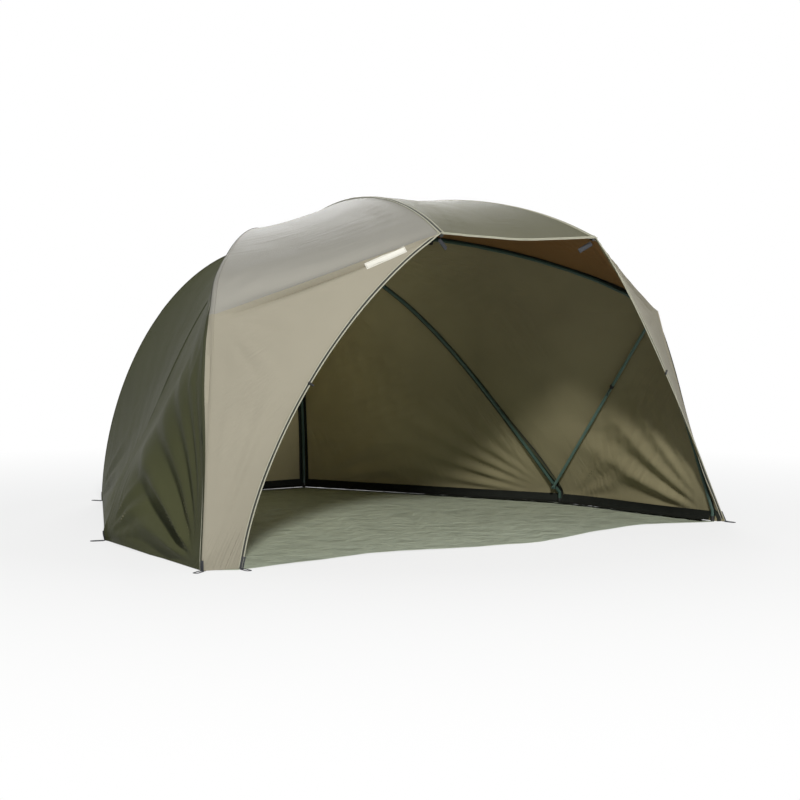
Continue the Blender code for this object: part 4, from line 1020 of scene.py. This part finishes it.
def groundsheet_grid(rows=190, cols=220):
    """Rows from the front edge to the back one; the sides bend at the middle feet."""
    v = np.linspace(0.0, 1.0, rows)[:, None]
    u = np.linspace(0.0, 1.0, cols)[None, :]
    front_y = np.interp(u, np.linspace(0, 1, 8), SHEET_FRONT_Y)
    kernel = np.hanning(19) / np.hanning(19).sum()
    front_y = np.convolve(np.pad(front_y[0], 9, mode="edge"), kernel, mode="valid")[None]
    back = REAR_FOOT[1] - 0.0085 + 0.013 * np.sin(math.pi * u) ** 0.3
    y = front_y * (1 - v) + back * v
    knots = [-1.06, -0.99, -0.53, -0.10, -0.07, -0.04, 0.58, 1.2265]
    right = np.interp(y, knots, [1.243, 1.246, 1.222, 1.176, 1.1615, 1.176, 0.877, 0.560])
    left = np.interp(y, knots, [-1.134, -1.238, -1.222, -1.176, -1.1615, -1.176, -0.877, -0.560])
    x = left + (right - left) * u
    edge = np.clip(np.minimum.reduce([u * 8 + 0 * v, (1 - u) * 8 + 0 * v, (1 - v) * 8 + 0 * u]), 0, 1)
    bent = x + 0.05 * np.sin(5.0 * y + 1.0), y + 0.06 * np.sin(4.0 * x)
    wave = (np.sin(7.0 * bent[0] + 3.0 * bent[1]) + 0.8 * np.sin(3.5 * bent[0] - 9.0 * bent[1] + 1.0)
            + 0.6 * (1.0 - 2.0 * np.abs(np.sin(8.0 * bent[0] + 15.0 * bent[1])))
            + 0.25 * (1.0 - 2.0 * np.abs(np.sin(-19 * bent[0] + 31 * bent[1] + 0.6))))
    z = 0.0012 + 0.0032 * (wave / 2.65 + 1.0) * smoothstep(edge)
    return np.stack([x, y, z], -1)


ground_grid = groundsheet_grid()
ground_normals = unit(grid_normals(ground_grid))
ground_normals *= np.sign(ground_normals[..., 2:3].mean())
groundsheet = sheet_object("groundsheet_cloth", ground_grid, ground_normals, 0.0012, [sheet_top])
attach(groundsheet, "ground")
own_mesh(groundsheet)
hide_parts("groundsheet")
declare(groundsheet, ground_grid)

# %% [markdown]
# ## Cords of piping and seams
# Every free edge is bound, and along the opening the binding carries two pale cords with a dark tape
# between them. A cord is a small ring carried along a line.


# %% Swept cords
def tangents(line):
    """Unit directions along a line."""
    return unit(np.gradient(line, axis=0))


def around(count):
    """Angles spread evenly over one turn."""
    return np.linspace(0.0, 2.0 * math.pi, count, endpoint=False)


def cord_object(name, line, side_dir, radius, material, flat=1.0, sides=8):
    """A closed tube: the ring cos(a) side + sin(a) up, at every point, with capped ends."""
    t = tangents(line)
    side_dir = unit(side_dir - t * np.sum(side_dir * t, axis=1)[:, None])
    up = np.cross(t, side_dir)
    a = around(sides)
    c, h = np.cos(a)[None, :, None], flat * np.sin(a)[None, :, None]
    ring = (c * side_dir[:, None] + h * up[:, None]) * radius
    verts = (line[:, None] + ring).reshape(-1, 3)
    verts[:, 2] = np.maximum(verts[:, 2], 0.0003)
    index = np.arange(len(line) * sides).reshape(len(line), sides)
    nxt = np.roll(index, -1, axis=1)
    quads = np.stack([index[:-1], nxt[:-1], nxt[1:], index[1:]], -1).reshape(-1, 4)
    faces = quads.tolist() + [index[0][::-1].tolist(), index[-1].tolist()]
    flat_map = np.stack(np.broadcast_arrays(a[None] * radius, lengths(line)[:, None]), -1).reshape(-1, 2)
    return mesh_object(name, verts, faces, flat_map, [material], 60)


PIPING_GAP, PIPING_R, PIPING_LIFT = 0.011, (0.0026, 0.0020), 0.0016
OPENING_TAPE_AT, OPENING_TAPE_HALF = 0.0056, 0.0045
RIB_SEAM_AT, RIB_SEAM_R = 0.0085, 0.0030
TRIMS = {which: [] for which in cover}


def sewn(piece, key, side):
    """Trims go with their panel: they ride on the same rib and are listed with it."""
    gather(piece, key, side)
    TRIMS[key, side].append(piece)


def line_beside(key, side, take, inset, lift):
    """A line on a panel, moved along the cloth by inset and off it by lift."""
    grid, normal = cover[key, side], normals[key, side]
    line, n = take(grid), take(normal)
    t = tangents(line)
    across = np.cross(t, n)
    return line + across * inset + n * lift, across


for side in SIDES:
    inner_way = 1.0 if side == "left" else -1.0
    for number, (inset, radius) in enumerate(zip((0.0, PIPING_GAP), PIPING_R)):
        line, across = line_beside("wing", side, lambda g: g[:, 0], inset * inner_way, PIPING_LIFT)
        sewn(cord_object(f"opening_piping_{number}_{side}", line, across, radius, piping_cream), "wing", side)
        last = ROOF_COLS + ARC
        line, across = line_beside("peak", side, lambda g: g[-1, :last], -inset * inner_way, PIPING_LIFT)
        sewn(cord_object(f"peak_piping_{number}_{side}", line, across, radius, piping_cream), "peak", side)
    line, across = line_beside("wing", side, lambda g: g[:, 0], OPENING_TAPE_AT * inner_way, 0.0009)
    tape = cord_object(f"opening_tape_{side}", line, across, OPENING_TAPE_HALF, binding_dark, 0.22)
    sewn(tape, "wing", side)
    middle = ROOF_COLS + ARC // 2
    for number, inset in enumerate((-RIB_SEAM_AT, RIB_SEAM_AT)):
        line, across = line_beside("peak", side, lambda g: g[:, middle], inset, 0.0)
        line = line - normals["peak", side][:, middle] * 0.0010
        seam = cord_object(f"rib_seam_{number}_{side}", line, across, RIB_SEAM_R, piping_cream)
        sewn(seam, "peak", side)

# %% [markdown]
# ## Label tab
# A bare woven tab is sewn to the left wing just under the crease. It is a narrow sheet laid on the
# cloth, with a line of stitching all round.

# %% Make the label tab
def tab_grid(rows=9, cols=48, length=0.160, height=0.027):
    """A rectangle held against the wing: each point is moved to the mean of the cloth close to it.

    The mean is weighted by exp(-(distance / 12 mm)^2).
    """
    middle = corners_of("label_tab").mean(0)
    grid, normal = cover["wing", "left"], normals["wing", "left"]
    near = np.linalg.norm(grid - middle, axis=-1) < 0.16
    points, n = grid[near], unit(normal[near].mean(0))
    along_crease = unit(grid[0, 0] - grid[0, 2 * HALF_GORE - 2])
    along_edge = unit(grid[0, 0] - grid[3 * FINE, 0])
    long_way = 0.85 * along_crease + 0.15 * along_edge
    long_way = unit(long_way - n * (long_way @ n))
    short_way = np.cross(long_way, n)
    short_way *= -np.sign(short_way[2])
    a = np.linspace(-0.5, 0.5, cols)[None, :, None] * length + 0.018
    b = np.linspace(-0.5, 0.5, rows)[:, None, None] * height
    flat = middle + a * long_way + b * short_way
    apart = points[None] - flat.reshape(-1, 1, 3)
    height_off = apart @ n
    beside = np.linalg.norm(apart - height_off[..., None] * n, axis=2)
    weight = np.exp(-(beside / 0.012) ** 2)
    lift = ((weight * height_off).sum(1) / weight.sum(1)).reshape(rows, cols, 1)
    return flat + n * (lift + 0.0024), np.broadcast_to(n, flat.shape)


tab, tab_n = tab_grid()
label = sheet_object("label_cloth_tab", tab, tab_n, 0.0010, [label_cloth])
gather(label, "wing", "left")
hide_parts("label_tab")
border = np.concatenate([tab[1, 1:-1], tab[1:-1, -2], tab[-2, -2:0:-1], tab[-2:0:-1, 1]])
border_n = np.broadcast_to(tab_n[0, 0], border.shape)
stitch = cord_object("label_stitching", border + border_n * 0.0006, np.cross(tangents(border), border_n),
                     0.0005, thread_pale, 1.0, 5)
gather(stitch, "wing", "left")
declare(label, tab)

# %% [markdown]
# ## Skirts along the hem
# The hem doesn't end in the air above the ground: a dark waterproof skirt is sewn to its inside and
# turns in over the edge of the groundsheet, which keeps the wind out. Its near-black colour is partly
# painted shade, for the shadow along the hem and over the groundsheet's edge. Each one is a short
# profile, down the cloth and then inwards, carried along the hem between two ribs.


# %% Make the skirts
def skirt_grid(grid, normal):
    """Profile points at every hem column: cloth line moved in and down, then laid over the sheet."""
    inward = unit(-normal[-1] * (1.0, 1.0, 0.0))
    line = grid[-1] * (1.0, 1.0, 0.0)
    steps = np.array([(0.0050, 0.044), (0.0050, 0.034), (0.0055, 0.022), (0.0080, 0.0135), (0.016, 0.0105),
                      (0.030, 0.0100), (0.046, 0.0096), (0.062, 0.0092)])
    s = lengths(line)
    wave = 0.0022 * np.sin(s * 46.0) + 0.0014 * np.sin(s * 97.0 + 1.0)
    share = np.linspace(0.0, 1.0, len(steps))[:, None]
    out = line[None] + inward[None] * (steps[:, :1, None] + (wave[None] * share ** 2)[..., None] * 2.0)
    out[..., 2] = steps[:, 1:] + np.maximum(0.0, wave[None] * share * 0.8)
    lean = (grid[-1 - FINE // 4] - grid[-1])
    lean = lean / np.maximum(lean[:, 2:], 1e-6)
    out[..., :2] += lean[None, :, :2] * steps[:, 1, None, None] * (1.0 - share[..., None]) ** 2
    return out


FEET = {"wing": FRONT_FOOT, "mid": MID_FOOT, "rear": REAR_FOOT}
for side in SIDES:
    for key, foot in FEET.items():
        hem = cover[key, side][-1]
        count = hem.shape[0]
        rib = RIB_COLUMN[key] + ARC // 2
        clear = np.linalg.norm(hem[:, :2] - np.array(foot) * (SIDES[side], 1.0), axis=1) > 0.017
        for number, half in enumerate((np.arange(count) < rib, np.arange(count) > rib)):
            if key == "wing" and number == 0:
                continue
            chosen = np.flatnonzero(clear & half)
            start, end = chosen[0], chosen[-1] + 1
            grid, normal = cover[key, side][:, start:end], normals[key, side][:, start:end]
            made = skirt_grid(grid, normal)
            n = unit(grid_normals(made))
            n *= np.sign(n[-1, :, 2].mean())
            ob = sheet_object(f"hem_skirt_{key}_{number}_{side}", made, n, 0.0008, [skirt_cloth_and_hem_shade])
            gather(ob, key, side)
            declare(ob, made)

# %% [markdown]
# ## Seams along the ribs
# Over every rib two panels meet in a flat felled seam. It is a low band with a pale cord at one edge
# on the front ribs, where the photograph shows one, and a plain band on the others.

# %% Make the seams
def beside_rib(grid, column, distance):
    """The line on the cloth at a distance from one column, measured along every row."""
    step = np.linalg.norm(np.diff(grid, axis=1), axis=2)
    along = np.concatenate([np.zeros((len(grid), 1)), np.cumsum(step, 1)], 1)
    target = along[:, column] + distance
    index = np.clip((along < target[:, None]).sum(1) - 1, 0, grid.shape[1] - 2)
    row = np.arange(len(grid))
    before, after = along[row, index], along[row, index + 1]
    share = ((target - before) / np.maximum(after - before, 1e-9))[:, None]
    return grid[row, index] * (1 - share) + grid[row, index + 1] * share


for side in SIDES:
    for key in RIB_COLUMN:
        rib = RIB_COLUMN[key] + ARC // 2
        grid, n = cover[key, side], normals[key, side]
        at = rib + ARC // 2 + 1 if key in ("front", "wing") else rib
        across = np.cross(tangents(grid[:, at]), n[:, at])
        half, finish = (0.0038, binding_dark) if key == "peak" else (0.0055, seam_cloth)
        line = grid[:, at] + n[:, at] * 0.0005
        band = cord_object(f"seam_band_{key}_{side}", line, across, half, finish, 0.18)
        sewn(band, key, side)
        if key in ("front", "wing"):
            line = beside_rib(grid, at, 0.0080) + n[:, at] * 0.0008
            sewn(cord_object(f"seam_cord_{key}_{side}", line, across, 0.0016, piping_cream), key, side)
        for number, way in enumerate((-1.0, 1.0)):
            if key == "mid" and way < 0.0:
                continue
            line = beside_rib(grid, rib, way * 0.0200)
            width_way = line - beside_rib(grid, rib, way * 0.0140)
            n_line = unit(np.cross(tangents(line), width_way))
            n_line *= np.sign((n_line * n[:, rib]).sum())
            name = f"inside_tape_{number}_{key}_{side}"
            tape = cord_object(name, line - n_line * 0.0028, width_way, 0.0085, inside_tape, 0.10)
            sewn(tape, key, side)

# %% [markdown]
# ## Small fittings of cloth and webbing
# Each foot has a webbing loop for a peg. It is one strap led round in a flat ring, so its path is a
# stadium: two straights and two half circles. Struts are held to the cover by a wrapped tie.


# %% Make the peg loops
def ring_object(name, path, normal, half_width, half_thick, material):
    """A closed band: a flat oval section carried round a closed path."""
    aside = np.cross(unit(np.roll(path, -1, axis=0) - np.roll(path, 1, axis=0)), normal)
    a = around(10)
    squared = np.sign(np.cos(a)) * np.abs(np.cos(a)) ** 0.5
    wide = squared[None, :, None] * aside[:, None] * half_width
    ring = wide + np.sin(a)[None, :, None] * normal * half_thick
    verts = (path[:, None] + ring).reshape(-1, 3)
    index = np.arange(len(verts)).reshape(len(path), -1)
    nxt, down = np.roll(index, -1, axis=1), np.roll(index, -1, axis=0)
    both = np.roll(nxt, -1, axis=0)
    faces = np.stack([index, down, both, nxt], -1).reshape(-1, 4)
    s = np.linspace(0.0, 0.14, len(path))[:, None]
    flat_map = np.stack(np.broadcast_arrays(a[None] * half_width, s), -1).reshape(-1, 2)
    ob = mesh_object(name, verts, faces.tolist(), flat_map, [material])
    first, second, fourth = (verts[faces[:, i]] for i in (0, 1, 3))
    off_path = verts[faces].mean(1) - np.repeat(path, len(a), axis=0)
    if np.einsum("ij,ij->i", np.cross(second - first, fourth - first), off_path).sum() < 0:
        ob.data.flip_normals()
    return ob


def principal(name):
    """Middle of a node, and its long and short directions on the ground, from its own corners."""
    co = np.unique(np.round(corners_of(name), 6), axis=0)
    flat = co[:, :2] - co[:, :2].mean(0)
    vectors = np.linalg.eigh(flat.T @ flat)[1]
    return co[:, :2].mean(0), np.append(vectors[:, 1], 0.0), np.append(vectors[:, 0], 0.0)


LOOP_STRAIGHT, LOOP_R = 0.0170, 0.0095
for name in [n for n in frame["nodes"] if n.startswith("peg_loop_")]:
    middle, long_way, short_way = principal(name)
    a = around(48)
    x = np.cos(a) * LOOP_R + np.sign(np.cos(a)) * LOOP_STRAIGHT * np.minimum(1.0, np.abs(np.cos(a)) * 3.0)
    y = np.sin(a) * LOOP_R
    path = np.append(middle, 0.0)[None] + x[:, None] * long_way + y[:, None] * short_way
    path[:, 2] = 0.0016
    ob = ring_object(name + "_strap", path, UP, 0.0032, 0.0012, webbing)
    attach(ob, frame["nodes"][name]["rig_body"])
    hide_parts(name)
    side = "left" if name.endswith("left") else "right"
    nearest = {key: np.linalg.norm(cover[key, side][-1, :, :2] - middle, axis=1) for key in FEET}
    key = min(nearest, key=lambda k: nearest[k].min())
    column = int(nearest[key].argmin())
    up_cloth = cover[key, side][:, column] + normals[key, side][:, column] * 0.0030
    up_cloth = up_cloth[up_cloth[:, 2] < 0.045][::-1]
    outward = np.append(middle, 0.002) - up_cloth[0]
    start = up_cloth[0] + outward * 0.45
    start[2] = 0.0030
    line = np.vstack([start, up_cloth[0] + outward * 0.18 + np.array([0, 0, 0.0012]), up_cloth])
    line = even(line, 0.0, lengths(line)[-1], 16)
    hem_way = np.broadcast_to(np.gradient(cover[key, side][-1], axis=0)[column], line.shape)
    tail = cord_object(name + "_sewn_end", line, hem_way, 0.0065, webbing, 0.16)
    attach(tail, frame["nodes"][name]["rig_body"])


# %% Make the strut ties
def strut_axis(side):
    """Ends of the strut's middle line, from the lowest and the highest corners of its mesh."""
    co = corners_of(f"side_strut_{side}")
    order = np.argsort(co[:, 2])
    return co[order[:40]].mean(0), co[order[-16:]].mean(0)


for side in SIDES:
    name = f"strut_tie_{side}"
    low, high = (np.array(c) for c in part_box(name))
    middle = (low + high) / 2
    bottom, top = strut_axis(side)
    along = unit(top - bottom)
    first = unit(np.cross(along, UP))
    second = np.cross(along, first)
    turns = np.linspace(0.0, 4.0 * math.pi, 60)
    radius = 0.0082 + 0.0006 * np.sin(turns * 1.5)
    across = np.cos(turns)[:, None] * first + np.sin(turns)[:, None] * second
    path = middle + across * radius[:, None] + (turns / turns[-1] - 0.5)[:, None] * along * 0.012
    tail = np.linspace(0.0, 1.0, 14)[:, None]
    hang = UP * 0.050 * tail ** 1.6
    loose_end = path[-1] + first * 0.018 * tail - hang + second * 0.006 * np.sin(tail * 5.0)
    whole = np.vstack([path, loose_end[1:]])
    tie = cord_object(name + "_wrap", whole, np.broadcast_to(along, whole.shape), 0.0055, webbing, 0.22)
    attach(tie, f"strut_{side}")
    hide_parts(name)

# %% Make the tip pockets
for side, sign in SIDES.items():
    tip = np.array(PEAK_TIP) * (sign, 1.0, 1.0)
    end = tip + np.array([-sign * 0.046, 0.022, -0.030])
    line = tip + np.array([0.0, 0.014, -0.016]) + np.linspace(0.0, 1.0, 9)[:, None] * (end - tip)
    ob = cord_object(f"tip_pocket_{side}", line, np.broadcast_to(UP, line.shape), 0.0095, webbing, 0.45, 12)
    gather(ob, "peak", side)
    TRIMS["peak", side].append(ob)

# %% [markdown]
# ## Toggle on the opening
# Half-way up the opening's edge sits a small black toggle that holds a rolled storm flap.

# %% Make the toggles
for side in SIDES:
    grid, normal = cover["wing", side], normals["wing", side]
    at = int(0.505 * len(grid))
    centre = grid[at, 0] + normal[at, 0] * 0.006
    edge_way = tangents(grid[:, 0])[at]
    out_way = np.cross(edge_way, normal[at, 0])
    line = centre + np.linspace(-1.0, 1.0, 13)[:, None] * out_way * 0.012
    edges = np.broadcast_to(edge_way, line.shape)
    swell = cord_object(f"toggle_{side}", line, edges, 0.0042, black_plastic, 1.0, 12)
    gather(swell, "wing", side)

# %% [markdown]
# ## Vent cap
# Over the head sits a round vent cap: cloth drawn over a disc, with eight shallow gores and a bound
# rim. It is a dome whose radius ripples eight times round.

# %% Make the vent cap
low, high = (np.array(c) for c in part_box("vent_cap"))
cap_r = (high[0] - low[0]) / 2
rings, spokes = 14, 96


def dome(drop, grow):
    """Rings by spokes: height falls with the square of the radius, less along each gore's middle."""
    r = np.linspace(0.0, 1.0, rings)[1:, None] * (cap_r + grow)
    a = around(spokes)[None]
    ripple = 0.0022 * (0.5 - 0.5 * np.abs(np.cos(4.0 * a))) * (r / cap_r) ** 2
    z = high[2] - (high[2] - low[2] - 0.0026) * (r / cap_r) ** 2 - drop - ripple
    return np.stack([r * np.cos(a), HEAD[1] + r * np.sin(a), z + 0 * a], -1)


outer, inner = dome(0.0, 0.0), dome(0.0024, -0.001)
top_point = np.array([[0.0, HEAD[1], high[2]]])
under_point = np.array([[0.0, HEAD[1], high[2] - 0.0024]])
verts = np.concatenate([top_point, outer.reshape(-1, 3), under_point, inner.reshape(-1, 3)])
index = 1 + np.arange((rings - 1) * spokes).reshape(rings - 1, spokes)
nxt = np.roll(index, -1, axis=1)
skin = np.stack([index[:-1], index[1:], nxt[1:], nxt[:-1]], -1).reshape(-1, 4)
offset = 1 + (rings - 1) * spokes
rim = np.stack([index[-1], index[-1] + offset, nxt[-1] + offset, nxt[-1]], -1)
faces = skin.tolist() + (skin[:, ::-1] + offset).tolist() + rim.tolist()
faces += np.stack([np.zeros(spokes, int), index[0], nxt[0]], -1).tolist()
faces += np.stack([np.full(spokes, offset), nxt[0] + offset, index[0] + offset], -1).tolist()
cap = mesh_object("vent_cap_cloth", verts, faces, verts[:, :2], [cover_roof], 50)
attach(cap, "frame_head")
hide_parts("vent_cap")
a = around(spokes)
rim_r = cap_r - 0.0015
circle = np.stack([np.cos(a) * rim_r, HEAD[1] + np.sin(a) * rim_r, 0 * a + low[2] + 0.0022], -1)
rim_cord = ring_object("vent_cap_piping", circle, UP, 0.0022, 0.0022, piping_cream)
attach(rim_cord, "frame_head")
print("vent cap flat", round(2 * cap_r, 3), "across, area", round(math.pi * cap_r ** 2, 4))

# %% [markdown]
# ## Facts of the sheets
# Each cloth panel is declared with its flat size and its true area.

for (key, side), ob in panel_objects.items():
    declare(ob, cover[key, side])

# %% [markdown]
# ## Finishes of the frame's own parts
# The model's rigid parts keep their shape. They only get a better finish, by their material slot.

# %% Finish the frame
FINISH_OF = {"rib_tube": rib_paint, "strut_tube": strut_paint, "black_plastic": black_plastic,
             "black_webbing": webbing, "cover_cloth": cover_roof, "sheet_cloth": sheet_top,
             "label_cloth": label_cloth}
count = 0
for name in frame["nodes"]:
    ob = bpy.data.objects.get(name)
    if ob is None or ob.hide_render:
        continue
    for i, held in enumerate(ob.data.materials):
        for slot_name, material in FINISH_OF.items():
            if held and held.name.startswith(slot_name):
                ob.data.materials[i] = material
                count += 1
print("finished slots", count)
